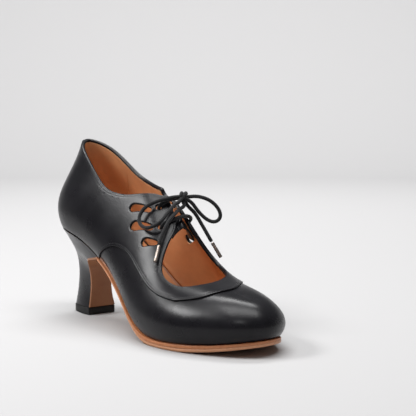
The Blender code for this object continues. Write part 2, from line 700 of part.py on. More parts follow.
def both_ends(first, last, count):
    """Places from first to last, closer together at both ends."""
    return first + (last - first) * (1 - np.cos(np.linspace(0, math.pi, count))) / 2


def make_insole(collection, finish):
    """The insole with its sock, inside the upper's wall on the sole and the heel's seat."""
    around = both_ends(*INSOLE_ENDS, SOLE_SECTIONS)
    feather, _, values = station_rings()
    set_in = np.clip(smooth_through(ring_knots(feather), values["set_in"], around, 1.0), 0, 1)
    inset = WALL + GAP + INSOLE_EASE + (OVERLAY + GAP) * set_in
    sections = slab_sections(around, -inset, lambda x: bottom_height(x) + INSOLE_THICK, bottom_height, 0.0003)
    return new_object("insole", loft("insole", sections), collection, finish)


def make_outsole(collection, finish):
    """The leather sole from the heel's front to the toe, flat on the floor under the ball."""
    start = around_at(place_along(HEEL_FRONT_AT) + BREAST_THICK + GAP)
    around = start + (both_ends(0, 1, SOLE_SECTIONS) ** 0.9) * (SOLE_END - start)
    proud = np.full(len(around), SOLE_PROUD)
    sections = slab_sections(around, proud, lambda x: bottom_height(x) - GAP, sole_underside, SOLE_ROUND)
    return new_object("outsole", loft("outsole", sections), collection, finish)


def turned_ring(back, front, half, count):
    """The round back of a heel ring, from the outer front corner to the inner one."""
    turn = np.linspace(0, math.pi, count)
    x = front - (front - back) * np.sin(turn) ** (2 / HEEL_ROUND)
    y = -half * np.sign(np.cos(turn)) * np.abs(np.cos(turn)) ** (2 / HEEL_ROUND)
    return np.column_stack([x, y])


def front_line(corner, other):
    """Points between two front corners."""
    share = np.linspace(0, 1, HEEL_FRONT_POINTS + 2)[1:-1, None]
    return corner * (1 - share) + other * share


def heel_rings():
    """Rings of the heel block from the lift up to the seat: a round back first, then the front line."""
    end = around_at(place_along(HEEL_FRONT_AT))
    around = np.linspace(end, -end, HEEL_BACK_POINTS)
    seat = feather_outline(around, 0.0)
    seat_z = bottom_height(seat[:, 0]) - GAP
    low = LIFT_HIGH + GAP
    rings = []
    for level, back, front, half, follow in HEEL:
        plan = turned_ring(back, front, half, HEEL_BACK_POINTS) * (1 - follow) + seat * follow
        round_part = np.column_stack([plan, low + level * (seat_z - low)])
        rings.append(np.concatenate([round_part, front_line(round_part[-1], round_part[0])]))
    return rings


def make_heel(collection, finish):
    """The flared heel block, from the top lift to the seat, with its flat front."""
    return new_object("heel_block", loft("heel_block", heel_rings()), collection, finish)


def make_breast_cover(collection, finish):
    """The sole leather that runs down the front of the heel, level with its corners."""
    rings = np.array(heel_rings())
    corner, front = rings[:, :1], rings[:, HEEL_BACK_POINTS - 1:][:, ::-1]
    face = np.concatenate([corner, front], axis=1)
    normals = np.cross(np.gradient(face, axis=1), np.gradient(face, axis=0))
    normals = normals / np.linalg.norm(normals, axis=-1)[..., None]
    normals = normals * np.sign(normals[..., :1])
    near, far = face + normals * GAP, face + normals * (GAP + BREAST_THICK)
    sections = [np.concatenate([a, b[::-1]]) for a, b in zip(near, far)]
    return new_object("breast_cover", loft("breast_cover", sections), collection, finish)


def make_top_lift(collection, finish):
    """The top lift that the heel stands on, with flat faces above and below."""
    back = turned_ring(LIFT_BACK, LIFT_FRONT, LIFT_HALF, HEEL_BACK_POINTS)
    plan = np.concatenate([back, front_line(back[-1], back[0])])
    made = new_object("top_lift", loft("top_lift", upright(plan, 0.0, LIFT_HIGH)), collection, finish)
    edge = made.modifiers.new("edge", "BEVEL")
    edge.width = LIFT_BEVEL
    edge.segments = 1
    edge.limit_method = "ANGLE"
    return made


def plan_point(x, y):
    """Point and normal of the last's surface over a place in plan."""
    around = np.linspace(0, 1, 721)[:-1]
    ups = np.linspace(0.4, 1, 121)
    grid = last_surface(*np.meshgrid(around, ups, indexing="ij"))
    far = np.hypot(grid[..., 0] - x, grid[..., 1] - y)
    column_at, row_at = np.unravel_index(far.argmin(), far.shape)
    return grid[column_at, row_at], last_normals(around[column_at], ups[row_at])


def make_bridge_strap(collection, finish):
    """The strap across the top of the keyhole: under the wall at both ends, raised in the slit."""
    middle = place_along(BRIDGE_AT)
    even = np.linspace(-1, 1, BRIDGE_SECTIONS)
    across = np.sign(even) * np.abs(even) ** BRIDGE_CROWD * BRIDGE_LONG / 2
    deep = WALL + OVERLAY + 3 * GAP + STRAP_THICK
    half, soft = BRIDGE_WIDE / 2, STRAP_THICK / 4
    outline = (
        (-half, soft), (-half, STRAP_THICK - soft), (-half + soft, STRAP_THICK), (half - soft, STRAP_THICK),
        (half, STRAP_THICK - soft), (half, soft), (half - soft, 0.0), (-half + soft, 0.0),
    )
    sections = []
    for shift in across:
        y = BRIDGE_SIDE + shift
        point, normal = plan_point(middle + SKEW * shift, y)
        forward, _ = across_frame(normal, 0.0, 1)
        lift = BRIDGE_RISE * np.cos(np.clip(shift / BRIDGE_SLIT, -1, 1) * math.pi / 2) ** 2
        base = point + normal * (lift - deep)
        sections.append(np.array([base + forward * a + normal * b for a, b in outline]))
    return new_object("bridge_strap", loft("bridge_strap", sections), collection, finish)


def make_back_tab(collection, finish, collar_tool):
    """The small reinforcement over the back seam, below the collar."""
    around = np.linspace(-BACK_TAB_HALF, BACK_TAB_HALF, 7)
    rows = np.linspace(BACK_TAB_LOW, 1.0, 6)
    columns, ups = np.meshgrid(around, rows, indexing="ij")
    grid = last_surface(columns, ups) + last_normals(columns, ups) * (GAP + TAB_THICK)
    mesh = mesh_from("back_tab", grid.reshape(-1, 3), sheet_faces(7, 6, False), sheet=True)
    made = new_object("back_tab", mesh, collection, finish)
    add_wall(made, TAB_THICK, -1)
    add_cut(made, collar_tool)
    return made


def route_points(route):
    """Points of a lace's route, as rows of x, y and z."""
    rows = np.array(route)
    return np.column_stack([place_along(rows[:, 0]), rows[:, 1] * BALL_HALF, rows[:, 2] * INSTEP_HEIGHT])


def make_strand(name, rows, wide, step, collection, finish):
    """A round strand along a smooth curve through its route's points, with flat ends."""
    knots = step_knots(rows)
    count = max(2, round(knots[-1] / step) + 1)
    places = smooth_through(knots, rows, np.linspace(0, knots[-1], count)) if len(rows) > 2 else rows
    curve = bpy.data.curves.new(name, "CURVE")
    curve.dimensions = "3D"
    curve.bevel_depth = wide / 2
    curve.bevel_resolution = 2
    curve.use_fill_caps = True
    line = curve.splines.new("POLY")
    line.points.add(len(places) - 1)
    for point, place in zip(line.points, places):
        point.co = (*place, 1.0)
    return new_object(name, curve, collection, finish)


def knot_route():
    """The wrap round the bow's middle, a short helix about its axis."""
    axis = np.array(KNOT_AXIS) / np.linalg.norm(KNOT_AXIS)
    level = np.cross(axis, (0.0, 0.0, 1.0))
    turn = np.linspace(0, KNOT_TURNS, 6 * ROUND_STEPS // 2)[:, None]
    around = np.cos(turn * 2 * math.pi) * level + np.sin(turn * 2 * math.pi) * np.array((0.0, 0.0, 1.0))
    return route_points(KNOT_AT) + around * KNOT_ROUND + axis * (turn - KNOT_TURNS / 2) * KNOT_PITCH


def make_laces(collection, cloth, metal):
    """The two crossings over the tabs, and the bow with its metal tips."""
    step = LACE * LACE_STEP
    strands = (
        ("lace_bar_upper", BAR_UPPER), ("lace_bar_lower", BAR_LOWER), ("lace_loop_outer", LOOP_OUTER),
        ("lace_loop_inner", LOOP_INNER), ("lace_end_outer", END_OUTER), ("lace_end_inner", END_INNER),
    )
    for name, route in strands:
        make_strand(name, route_points(route), LACE, step, collection, cloth)
    make_strand("lace_knot", knot_route(), LACE, KNOT_ROUND / 2, collection, cloth)
    make_strand("aglet_outer", route_points(TIP_OUTER), AGLET, step, collection, metal)
    make_strand("aglet_inner", route_points(TIP_INNER), AGLET, step, collection, metal)


def main():
    """Build the shoe."""
    for old in list(bpy.data.objects):
        bpy.data.objects.remove(old)
    shoe = bpy.data.collections.new("lace_up_heel")
    cutters = bpy.data.collections.new("cutters")
    for collection in (shoe, cutters):
        bpy.context.scene.collection.children.link(collection)
    black = material("black_leather", (0.016, 0.015, 0.017), 0.42)
    tan = material("tan_leather", (0.46, 0.22, 0.10), 0.55)
    edge = material("sole_leather", (0.40, 0.19, 0.09), 0.5)
    lift = material("lift_rubber", (0.012, 0.012, 0.012), 0.6)
    cloth = material("lace_cotton", (0.012, 0.012, 0.013), 0.8)
    metal = material("aglet_metal", (0.55, 0.50, 0.46), 0.3, 1.0)
    tools = opening_cutters(cutters)
    make_upper(shoe, black, tools)
    make_quarter(shoe, black, tools + overlay_cutters(cutters))
    make_insole(shoe, tan)
    make_outsole(shoe, edge)
    make_heel(shoe, black)
    make_breast_cover(shoe, edge)
    make_top_lift(shoe, lift)
    make_bridge_strap(shoe, black)
    make_back_tab(shoe, black, tools[1])
    make_laces(shoe, cloth, metal)


main()
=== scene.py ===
"""Lace up heel, right shoe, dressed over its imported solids: leather, lining, stitches, laces, sole and heel.

Metres. +X runs to the toe, +Y to the inner side of the foot, +Z up. Each piece of the upper is cut
from the surface of the last, worked out from the same sizes as the solids.
"""

import math

import bmesh
import bpy
import numpy as np
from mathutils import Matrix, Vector, geometry


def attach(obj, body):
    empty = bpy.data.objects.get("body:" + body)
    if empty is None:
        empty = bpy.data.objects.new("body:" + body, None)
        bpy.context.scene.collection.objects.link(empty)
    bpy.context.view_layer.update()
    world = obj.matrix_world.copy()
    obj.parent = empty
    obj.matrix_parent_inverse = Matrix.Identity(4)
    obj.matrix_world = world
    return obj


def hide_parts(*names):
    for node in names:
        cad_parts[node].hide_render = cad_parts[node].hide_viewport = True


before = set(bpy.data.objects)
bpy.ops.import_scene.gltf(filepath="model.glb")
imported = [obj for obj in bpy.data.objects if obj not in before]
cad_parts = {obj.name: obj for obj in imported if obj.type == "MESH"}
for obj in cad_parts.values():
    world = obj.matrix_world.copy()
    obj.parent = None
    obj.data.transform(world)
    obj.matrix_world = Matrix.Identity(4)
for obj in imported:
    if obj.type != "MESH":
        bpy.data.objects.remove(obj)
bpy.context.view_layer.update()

# Driving sizes of the last
SHOE_LENGTH = 0.231        # from the back of the seat to the toe, along the feather edge
HEEL_HEIGHT = 0.0695       # the back of the seat above the floor
HEEL_OVERHANG = 0.0210     # the back of the seat behind the origin
BALL_HALF = 0.0390         # half width of the feather edge at the ball
SEAT_HALF = 0.0267         # half width that the top of the last is measured in
INSTEP_HEIGHT = 0.1040     # height that the crown line is measured in
BALL_HEIGHT = 0.0040       # the level that the bottom curve is measured from

# Walls and clearances
WALL = 0.0018              # vamp leather with its lining
OVERLAY = 0.0009           # leather of the quarter overlay
STRAP_THICK = 0.0014
TAB_THICK = 0.0008
GAP = 0.0003               # clearance between pieces that touch
INSOLE_THICK = 0.0020
SOLE_THICK = 0.0048
SOLE_PROUD = 0.0012        # the sole's edge beyond the upper
SOLE_ROUND = 0.0006        # rounding of the sole's edge
LIFT_HIGH = 0.0060
BREAST_THICK = 0.0012

# Openings
SKEW = -0.20               # how far the inner side's cuts lie further back, for each metre across
SIDE_HALF = 0.0190         # half the distance between a slot and its partner
EYELET_WIDE = 0.0042

# The feather edge and the crown line, a row for each station from the back of the seat to the toe.
# along, crown_along: shares of the length. outer, inner: shares of the ball's half width.
# crown_half, lean: shares of the seat's half width. crown_high: share of the instep's height.
# bulge: metres. steep: 1 where the wall stands up to the collar, 0 where it closes over the foot.
# set_in: 1 where the upper gives way to the overlay, so that the overlay keeps the last's outline.
STATION_COLUMNS = (
    "along", "outer", "inner", "crown_along", "crown_half", "crown_high", "bulge", "steep", "lean", "set_in",
)
STATIONS = (
    (0.000, 0.000, 0.000, 0.070, 0.00, 1.355, 0.0030, 1.00, 0.00, 1.0),
    (0.020, 0.355, 0.355, 0.103, 0.38, 1.327, 0.0030, 1.00, 0.00, 1.0),
    (0.080, 0.645, 0.635, 0.175, 0.56, 1.267, 0.0032, 0.95, 0.00, 1.0),
    (0.165, 0.715, 0.695, 0.270, 0.52, 1.195, 0.0034, 0.80, 0.02, 1.0),
    (0.270, 0.700, 0.655, 0.368, 0.32, 1.120, 0.0036, 0.45, 0.12, 1.0),
    (0.380, 0.715, 0.600, 0.464, 0.09, 1.020, 0.0040, 0.12, 0.24, 1.0),
    (0.500, 0.845, 0.705, 0.546, 0.00, 0.850, 0.0043, 0.00, 0.24, 0.8),
    (0.610, 0.980, 0.895, 0.626, 0.00, 0.640, 0.0042, 0.00, 0.15, 0.4),
    (0.705, 1.000, 0.975, 0.702, 0.00, 0.476, 0.0040, 0.00, 0.06, 0.1),
    (0.800, 0.900, 0.935, 0.787, 0.00, 0.408, 0.0040, 0.00, 0.02, 0.0),
    (0.895, 0.655, 0.745, 0.858, 0.00, 0.386, 0.0036, 0.00, 0.00, 0.0),
    (0.970, 0.360, 0.440, 0.893, 0.00, 0.369, 0.0032, 0.00, 0.00, 0.0),
    (1.000, 0.030, 0.030, 0.901, 0.00, 0.363, 0.0030, 0.00, 0.00, 0.0),
)

# The bottom of the last from the side. along: share of the length. high: share of the heel's height
# above the ball. sole: share of the sole's thickness there.
BOTTOM_COLUMNS = ("along", "high", "sole")
BOTTOM = (
    (0.00, 1.000, 0.42), (0.08, 0.985, 0.42), (0.17, 0.925, 0.41), (0.26, 0.810, 0.40),
    (0.36, 0.608, 0.42), (0.46, 0.352, 0.50), (0.55, 0.140, 0.70), (0.63, 0.034, 1.00),
    (0.71, 0.012, 1.00), (0.80, 0.022, 1.00), (0.90, 0.056, 0.92), (1.00, 0.115, 0.82),
)

# Control points of a section from the feather edge to the crown line. Their columns are
# across, a share of the way to the crown in plan, up, a share of the height, and out, in bulges.
WALL_SECTION = (
    (0.00, 0.00, 0.0), (0.00, 0.10, 1.0), (0.04, 0.30, 1.9), (0.28, 0.52, 1.4),
    (0.58, 0.72, 0.5), (0.84, 0.88, 0.1), (1.00, 1.00, 0.0),
)
TOE_SECTION = (
    (0.00, 0.00, 0.0), (0.00, 0.14, 1.1), (0.01, 0.40, 1.7), (0.14, 0.74, 0.8),
    (0.42, 1.00, 0.0), (0.74, 1.00, 0.0), (1.00, 1.00, 0.0),
)
INSTEP_SECTION = (
    (0.00, 0.00, 0.0), (0.00, 0.10, 1.1), (0.05, 0.32, 1.7), (0.22, 0.60, 1.0),
    (0.46, 0.86, 0.0), (0.72, 1.00, 0.0), (1.00, 1.00, 0.0),
)
LOW_TOE = 0.036            # a section of this height is a toe section
TALL_INSTEP = 0.066        # a section of this height is an instep section
CROWN_CLOSED = 0.0012      # the two sides are one where their crown lines lie this near
RIDGE_NORMAL = 0.985       # how far up a section its direction outward is read
SECTION_KNOTS = (0.0, 0.0, 0.0, 0.0, 0.25, 0.5, 0.75, 1.0, 1.0, 1.0, 1.0)

# The collar from the side. along: share of the length. high: share of the instep's height.
# tilt: how much higher the inner side is than the middle, 20 mm out, as a share of that height.
COLLAR_COLUMNS = ("along", "high", "tilt")
COLLAR = (
    (-0.100, 1.462, 0.000), (0.050, 1.350, 0.000), (0.115, 1.284, 0.000), (0.205, 1.156, 0.000),
    (0.255, 1.078, 0.008), (0.300, 1.024, 0.022), (0.345, 0.994, 0.028), (0.395, 0.978, 0.026),
    (0.445, 0.978, 0.016), (0.485, 0.966, 0.002), (0.508, 0.944, 0.000),
)
TILT_REACH = 0.020

# The slit between the tabs and the keyhole that it runs into, in plan, forward by the outer side.
# along: share of the length. across: share of the ball's half width, to the inner side.
PLAN_COLUMNS = ("along", "across")
THROAT = (
    (0.420, 0.140), (0.462, 0.122), (0.504, 0.108), (0.540, 0.085), (0.568, 0.030), (0.590, -0.095),
    (0.605, -0.290), (0.620, -0.470), (0.638, -0.605), (0.664, -0.675), (0.694, -0.685), (0.728, -0.650),
    (0.756, -0.560), (0.773, -0.400), (0.777, -0.180), (0.766, 0.080), (0.746, 0.310), (0.716, 0.490),
    (0.680, 0.585), (0.642, 0.600), (0.608, 0.530), (0.584, 0.430), (0.558, 0.368), (0.530, 0.358),
    (0.496, 0.372), (0.458, 0.395), (0.420, 0.410),
)

# The lower edge of the quarter overlay's wings from the side, as it runs forward on the outer side.
EDGE_COLUMNS = ("along", "high")
OVERLAY_EDGE = (
    (0.290, 0.400), (0.322, 0.468), (0.338, 0.508), (0.361, 0.548), (0.393, 0.586), (0.428, 0.604),
    (0.465, 0.595), (0.507, 0.559), (0.557, 0.488), (0.621, 0.400), (0.674, 0.350), (0.729, 0.326),
    (0.770, 0.319), (0.820, 0.317),
)

# The overlay's round front in plan, from the outer side to the inner one, in the throat's columns.
OVERLAY_FRONT = (
    (0.690, -1.110), (0.740, -0.930), (0.784, -0.802), (0.814, -0.700), (0.843, -0.520), (0.856, -0.240),
    (0.848, 0.050), (0.822, 0.280), (0.784, 0.530), (0.740, 0.770), (0.706, 0.940), (0.671, 1.110),
)

# The slots behind the tabs, by their middles on the outer side. Their columns are along, a share of
# the length, high, a share of the instep's height, long and wide in metres, and rise in degrees.
SLOTS = (
    (0.470, 0.864, 0.0190, 0.0062, 8.0),
    (0.506, 0.748, 0.0200, 0.0074, 10.0),
    (0.560, 0.650, 0.0130, 0.0064, 16.0),
)
SLOT_TAPER = 0.55          # the front end's radius, as a share of the back end's

# The two pairs of eyelets, by their places on the outer side, in the collar's first two columns
EYELETS = ((0.517, 0.880), (0.561, 0.752))

# The strap across the top of the keyhole, and the tab over the back seam
BRIDGE_AT = 0.571          # share of the length at its middle
BRIDGE_SIDE = 0.0070       # its middle lies this far to the inner side
BRIDGE_LONG = 0.0290
BRIDGE_WIDE = 0.0090
BRIDGE_SLIT = 0.0046       # half the slit that it is raised in
BRIDGE_RISE = 0.0018
BRIDGE_CROWD = 1.5         # how much closer its sections lie in the slit
BACK_TAB_HALF = 0.0130     # share of the way round the shoe
BACK_TAB_LOW = 0.76        # share of the way up the back

# The flared heel. Its columns are level, a share of the height from the lift to the seat, back, front
# and half in metres, and seat, how much of the ring follows the seat's outline.
HEEL = (
    (0.00, -0.0180, 0.0122, 0.0117, 0.00), (0.10, -0.0166, 0.0118, 0.0107, 0.00),
    (0.24, -0.0151, 0.0114, 0.0097, 0.00), (0.40, -0.0144, 0.0113, 0.0092, 0.00),
    (0.54, -0.0150, 0.0114, 0.0096, 0.00), (0.66, -0.0166, 0.0117, 0.0107, 0.02),
    (0.76, -0.0185, 0.0124, 0.0127, 0.08), (0.85, -0.0203, 0.0138, 0.0158, 0.20),
    (0.93, -0.0210, 0.0172, 0.0197, 0.44), (1.00, -0.0210, 0.0300, 0.0240, 1.00),
)
HEEL_FRONT_AT = 0.303      # share of the length where the heel's top ends and the sole starts
HEEL_ROUND = 2.5           # power of the rings' round back
LIFT_BACK = -0.0185
LIFT_FRONT = 0.0126
LIFT_HALF = 0.0122

# The round lace. A route's columns are along, a share of the length, across, a share of the ball's half
# width to the inner side, and high, a share of the instep's height.
LACE = 0.0027              # diameter
AGLET = 0.0026             # diameter of the metal tips
KNOT_AT = ((0.546, 0.297, 0.946),)
KNOT_AXIS = (0.62, 0.78, 0.0)
KNOT_ROUND = 0.0028        # radius of the wrap round the bow's middle
KNOT_TURNS = 1.4
KNOT_PITCH = 0.0029
BAR_UPPER = (
    (0.522, -0.177, 0.892), (0.524, -0.123, 0.902), (0.525, -0.049, 0.912), (0.525, 0.036, 0.923),
    (0.524, 0.141, 0.930), (0.519, 0.254, 0.932), (0.510, 0.351, 0.926), (0.498, 0.418, 0.906),
    (0.487, 0.459, 0.887),
)
BAR_LOWER = (
    (0.565, -0.318, 0.764), (0.568, -0.249, 0.777), (0.571, -0.156, 0.791), (0.572, -0.036, 0.803),
    (0.571, 0.108, 0.813), (0.565, 0.262, 0.815), (0.555, 0.403, 0.804), (0.541, 0.485, 0.780),
    (0.529, 0.536, 0.759),
)
LOOP_OUTER = (
    (0.538, 0.236, 0.947), (0.539, 0.118, 0.947), (0.537, 0.010, 0.942), (0.530, -0.128, 0.932),
    (0.518, -0.262, 0.913), (0.505, -0.385, 0.885), (0.499, -0.472, 0.846), (0.502, -0.533, 0.804),
    (0.516, -0.559, 0.767), (0.539, -0.544, 0.748), (0.561, -0.482, 0.760), (0.575, -0.364, 0.792),
    (0.572, -0.221, 0.835), (0.565, -0.067, 0.877), (0.558, 0.082, 0.908), (0.557, 0.149, 0.917),
)
LOOP_INNER = (
    (0.555, 0.359, 0.947), (0.569, 0.456, 0.950), (0.584, 0.569, 0.942), (0.599, 0.682, 0.919),
    (0.611, 0.774, 0.881), (0.618, 0.826, 0.837), (0.618, 0.821, 0.796), (0.610, 0.759, 0.773),
    (0.596, 0.662, 0.781), (0.583, 0.569, 0.815), (0.572, 0.482, 0.862), (0.565, 0.405, 0.904),
)
END_OUTER = (
    (0.557, 0.262, 0.896), (0.564, 0.128, 0.867), (0.573, -0.010, 0.842), (0.582, -0.149, 0.815),
    (0.590, -0.292, 0.767), (0.596, -0.410, 0.710), (0.600, -0.477, 0.671), (0.603, -0.513, 0.643),
)
END_INNER = (
    (0.552, 0.354, 0.890), (0.565, 0.446, 0.842), (0.577, 0.518, 0.787), (0.590, 0.569, 0.731),
    (0.603, 0.610, 0.679), (0.614, 0.651, 0.633),
)
TIP_OUTER = (
    (0.604, -0.521, 0.638), (0.625, -0.700, 0.537),
)
TIP_INNER = (
    (0.615, 0.656, 0.628), (0.639, 0.754, 0.525),
)

# Layers of the upper, as distances out from the last before the overlay's room is taken off
OVERLAY_FACE = GAP + OVERLAY
VAMP_INNER = -0.00100
QUARTER_INNER = -0.00095
LINING_OUTER = -0.00105
LINING_BACK = 0.0005           # how far the lining's rims stand back from the leather's at slots and eyelets
RIM_FOLD = 0.0020              # how far the leather is folded in over the lining at collar and keyhole
FOLD_FACE = -0.00178           # the fold's inner face, as a distance out from the last
UNDER_OVERLAY = 0.0060         # how far the vamp runs on under the overlay
FOLD_FROM, FOLD_TO = 0.0068, 0.0092

# The flat pattern of the upper and how finely it is cut
PATTERN_LINE = 0.40            # the line that the pattern closes on is this much shorter than its ring
GRID_AROUND = 250
GRID_UP = 64
RIM_STEP = 0.0008
SLOT_STEP = 0.0005
RIM_DEPTHS = (0.00018, 0.0004, 0.0007, 0.0011, 0.0016, 0.0020, 0.0024, 0.0030, 0.0038)
RIM_CLEAR = 0.0044             # the even grid keeps this far from the rims
QUARTER_ROLL = 0.0009          # how far in from an edge the leather's thickness falls off
VAMP_ROLL = 0.0006
LINING_ROLL = 0.0003
COLLAR_FROM, COLLAR_TO = 0.0070, 0.0090   # the collar's second row fades out over these depths
APRON_ROW = 0.0013             # the apron's stitch rows lie this far to both sides of its seam
TRIM_CLEAR = 0.0030

# Stitches
STITCH_IN = 0.0020
COLLAR_ROW = 0.0037            # the collar's second row
STITCH_PITCH = 0.0017
STITCH_LONG = 0.0015
STITCH_WIDE = 0.00072
STITCH_HIGH = 0.00056
STITCH_LEAN = 0.45
FURROW_OUT = 0.00062           # the furrows' distance from the row between them
GROOVE_DEEP = 0.00024
GROOVE_WIDE = 0.00030
CREASE_DEPTHS = (-0.0012, -0.0008, -0.0005, -0.00025, 0.0, 0.00025, 0.0005, 0.0008, 0.0012)
CREASE_CLEAR = 0.0018
BACK_SEAM_TOP = 0.745
LINING_SEAM = 0.9205           # place round the ring of the lining's seam, on the inner side
APRON_SEAM = ((0.657, 0.585), (0.600, 0.760))   # the apron's seam on the inner side, in plan
UNDER_CLEAR = 0.00025          # how far the overlay's lower edge stands off the vamp
BREAST_CLEAR = 0.00005
SOCK_EASE = 0.0001             # room between sock and wall beyond the clearance
SPINE_FROM, SPINE_TO = -0.002, 0.172   # x of the two ends of the line that sock and sole are drawn to
TAB_TOP_IN = 0.0060            # the back tab's top lies this share below the collar
HEEL_COLUMNS = ("level", "back", "front", "half", "seat")
SOLE_UNDER_ROUND = 0.0012      # rounding of the sole's lower edge
SOLE_NOTCH = (                 # the line between the sole's two layers: distance in, and level
    (0.0, 0.66), (0.00004, 0.545), (0.00022, 0.515), (0.00022, 0.485), (0.00004, 0.455), (0.0, 0.34),
)
LIFT_PROFILE = (               # the lift's edge from the floor up: distance in, and height
    (0.0006, 0.0), (0.00015, 0.00015), (0.0, 0.0006), (0.0, 0.0052), (0.0002, 0.0057), (0.0007, LIFT_HIGH),
)
HEEL_BACK_POINTS = 61
HEEL_FRONT_POINTS = 17

# Where the bow's strands enter the knot, from its middle: along its axis, ahead of it, and up.
ENTER_LOOP_OUTER = ((-0.0006, 0.0, 0.0004), (-0.0016, 0.0036, -0.0012), (-0.0004, 0.0012, -0.0002))
ENTER_LOOP_INNER = ((0.0006, 0.0, 0.0002), (0.0034, 0.0016, -0.0022), (0.0010, 0.0008, -0.0006))
ENTER_END_OUTER = ((0.0, 0.0004, -0.0006), (-0.0006, 0.0016, -0.0026))
ENTER_END_INNER = ((0.0004, 0.0, -0.0006), (0.0012, 0.0, -0.0030))

# The photo's camera and the studio. A lamp's columns are name, place, aim, size and power.
CAMERA_TURN = 51.5
CAMERA_RISE = 5.2
CAMERA_FAR = 0.772
CAMERA_AIM = (0.1408, 0.006, 0.0931)
CAMERA_LENS = 95.37
FLOOR_COLOUR = (0.44, 0.436, 0.438)
WORLD_COLOUR = (0.95, 0.97, 1.0)
WORLD_STRENGTH = 0.14
LAMPS = (
    ("key_lamp", (-0.33, -0.73, 0.90), (0.10, 0.0, 0.05), (0.50, 0.28), 10.0),
    ("top_lamp", (0.30, -0.08, 1.12), (0.36, 0.0, 0.03), (0.40, 1.00), 12.0),
    ("fill_lamp", (0.80, -0.90, 1.00), (0.12, 0.0, 0.05), (0.35, 0.35), 1.8),
    ("wall_lamp", (-0.60, 0.60, 1.90), (-1.75, 1.35, 0.40), (1.2, 1.2), 70.0),
)


def column(table, names, name):
    """One named column of a table, as an array."""
    return np.array([row[names.index(name)] for row in table])


def unit(vectors):
    """Vectors divided by their lengths."""
    return vectors / np.linalg.norm(vectors, axis=-1)[..., None]


def smooth_through(knots, rows, at, period=None):
    """Cubic spline through the rows at the knots, with free ends, or closed when a period is given."""
    knots, rows, at = np.asarray(knots, float), np.asarray(rows, float), np.asarray(at, float)
    if period is not None:
        wrap = 4
        knots = np.concatenate([knots[-wrap:] - period, knots, knots[:wrap] + period])
        rows = np.concatenate([rows[-wrap:], rows, rows[:wrap]])
        at = np.mod(at, period)
    count = len(knots)
    step = np.diff(knots)
    inner = np.arange(1, count - 1)
    system = np.eye(count)
    system[inner, inner - 1] = step[:-1]
    system[inner, inner] = 2 * (step[:-1] + step[1:])
    system[inner, inner + 1] = step[1:]
    slope = np.diff(rows, axis=0) / step.reshape((-1,) + (1,) * (rows.ndim - 1))
    right = np.zeros(rows.shape)
    right[1:-1] = 6 * np.diff(slope, axis=0)
    bend = np.linalg.solve(system, right.reshape(count, -1)).reshape(rows.shape)
    k = np.clip(np.searchsorted(knots, at, side="right") - 1, 0, count - 2)
    shape = at.shape + (1,) * (rows.ndim - 1)
    width = step[k].reshape(shape)
    b = ((at - knots[k]) / step[k]).reshape(shape)
    a = 1 - b
    return a * rows[k] + b * rows[k + 1] + ((a**3 - a) * bend[k] + (b**3 - b) * bend[k + 1]) * width**2 / 6


def place_along(share):
    """X of a share of the shoe's length, counted from the back of the seat."""
    return np.asarray(share) * SHOE_LENGTH - HEEL_OVERHANG


def bottom_height(x):
    """Height of the last's bottom at x."""
    share = (np.asarray(x) + HEEL_OVERHANG) / SHOE_LENGTH
    high = smooth_through(
        column(BOTTOM, BOTTOM_COLUMNS, "along"), column(BOTTOM, BOTTOM_COLUMNS, "high"), share)
    return BALL_HEIGHT + high * (HEEL_HEIGHT - BALL_HEIGHT)


def sole_underside(x):
    """Height of the sole's underside at x, which is flat on the floor under the ball."""
    share = (np.asarray(x) + HEEL_OVERHANG) / SHOE_LENGTH
    thick = smooth_through(
        column(BOTTOM, BOTTOM_COLUMNS, "along"), column(BOTTOM, BOTTOM_COLUMNS, "sole"), share)
    return np.maximum(bottom_height(x) - GAP - SOLE_THICK * thick, 0.0)


def station_rings():
    """The feather edge and the crown line at the stations, round the outer side and back by the inner."""
    table = {name: column(STATIONS, STATION_COLUMNS, name) for name in STATION_COLUMNS}
    back_again = np.arange(len(STATIONS) - 2, 0, -1)
    order = np.concatenate([np.arange(len(STATIONS)), back_again])
    side = np.concatenate([-np.ones(len(STATIONS)), np.ones(len(back_again))])
    values = {name: entries[order] for name, entries in table.items()}
    half = np.where(side < 0, values["outer"], values["inner"])
    feather_x = place_along(values["along"])
    feather = np.stack([feather_x, side * half * BALL_HALF, bottom_height(feather_x)], -1)
    feather[len(STATIONS) - 1, 1] = 0.0
    crown = np.stack([
        place_along(values["crown_along"]),
        (side * values["crown_half"] + values["lean"]) * SEAT_HALF,
        values["crown_high"] * INSTEP_HEIGHT,
    ], -1)
    return feather, crown, values


def ring_knots(feather):
    """Knots of the rings: the mean length of both sides from station to station, over the whole round."""
    count = len(STATIONS)
    step = np.linalg.norm(np.diff(np.concatenate([feather, feather[:1]]), axis=0), axis=1)
    half = (step[:count - 1] + step[:count - 2:-1]) / 2
    whole = np.concatenate([[0], np.cumsum(np.concatenate([half, half[::-1]]))])
    return whole[:-1] / whole[-1]


def crown_fall(crown):
    """Fall of the crown line for each metre forward, at each station of the ring."""
    count = len(STATIONS)
    line = crown[:count]
    fall = np.zeros(count)
    fall[1:-1] = -(line[2:, 2] - line[:-2, 2]) / (line[2:, 0] - line[:-2, 0])
    fall[0] = fall[1]
    fall[-2:] = fall[-3]
    return np.concatenate([fall, fall[-2:0:-1]])


def ring_direction(knots, feather, around):
    """A short step along the feather edge at places round the ring."""
    small = 1e-4
    ahead = smooth_through(knots, feather, around + small, 1.0)
    return ahead - smooth_through(knots, feather, around - small, 1.0)


def outward_plan(knots, feather):
    """Unit vectors in plan that point out of the feather edge at the knots."""
    ahead = ring_direction(knots, feather, knots)
    out = np.stack([ahead[:, 1], -ahead[:, 0], 0 * ahead[:, 0]], -1)
    return unit(out)


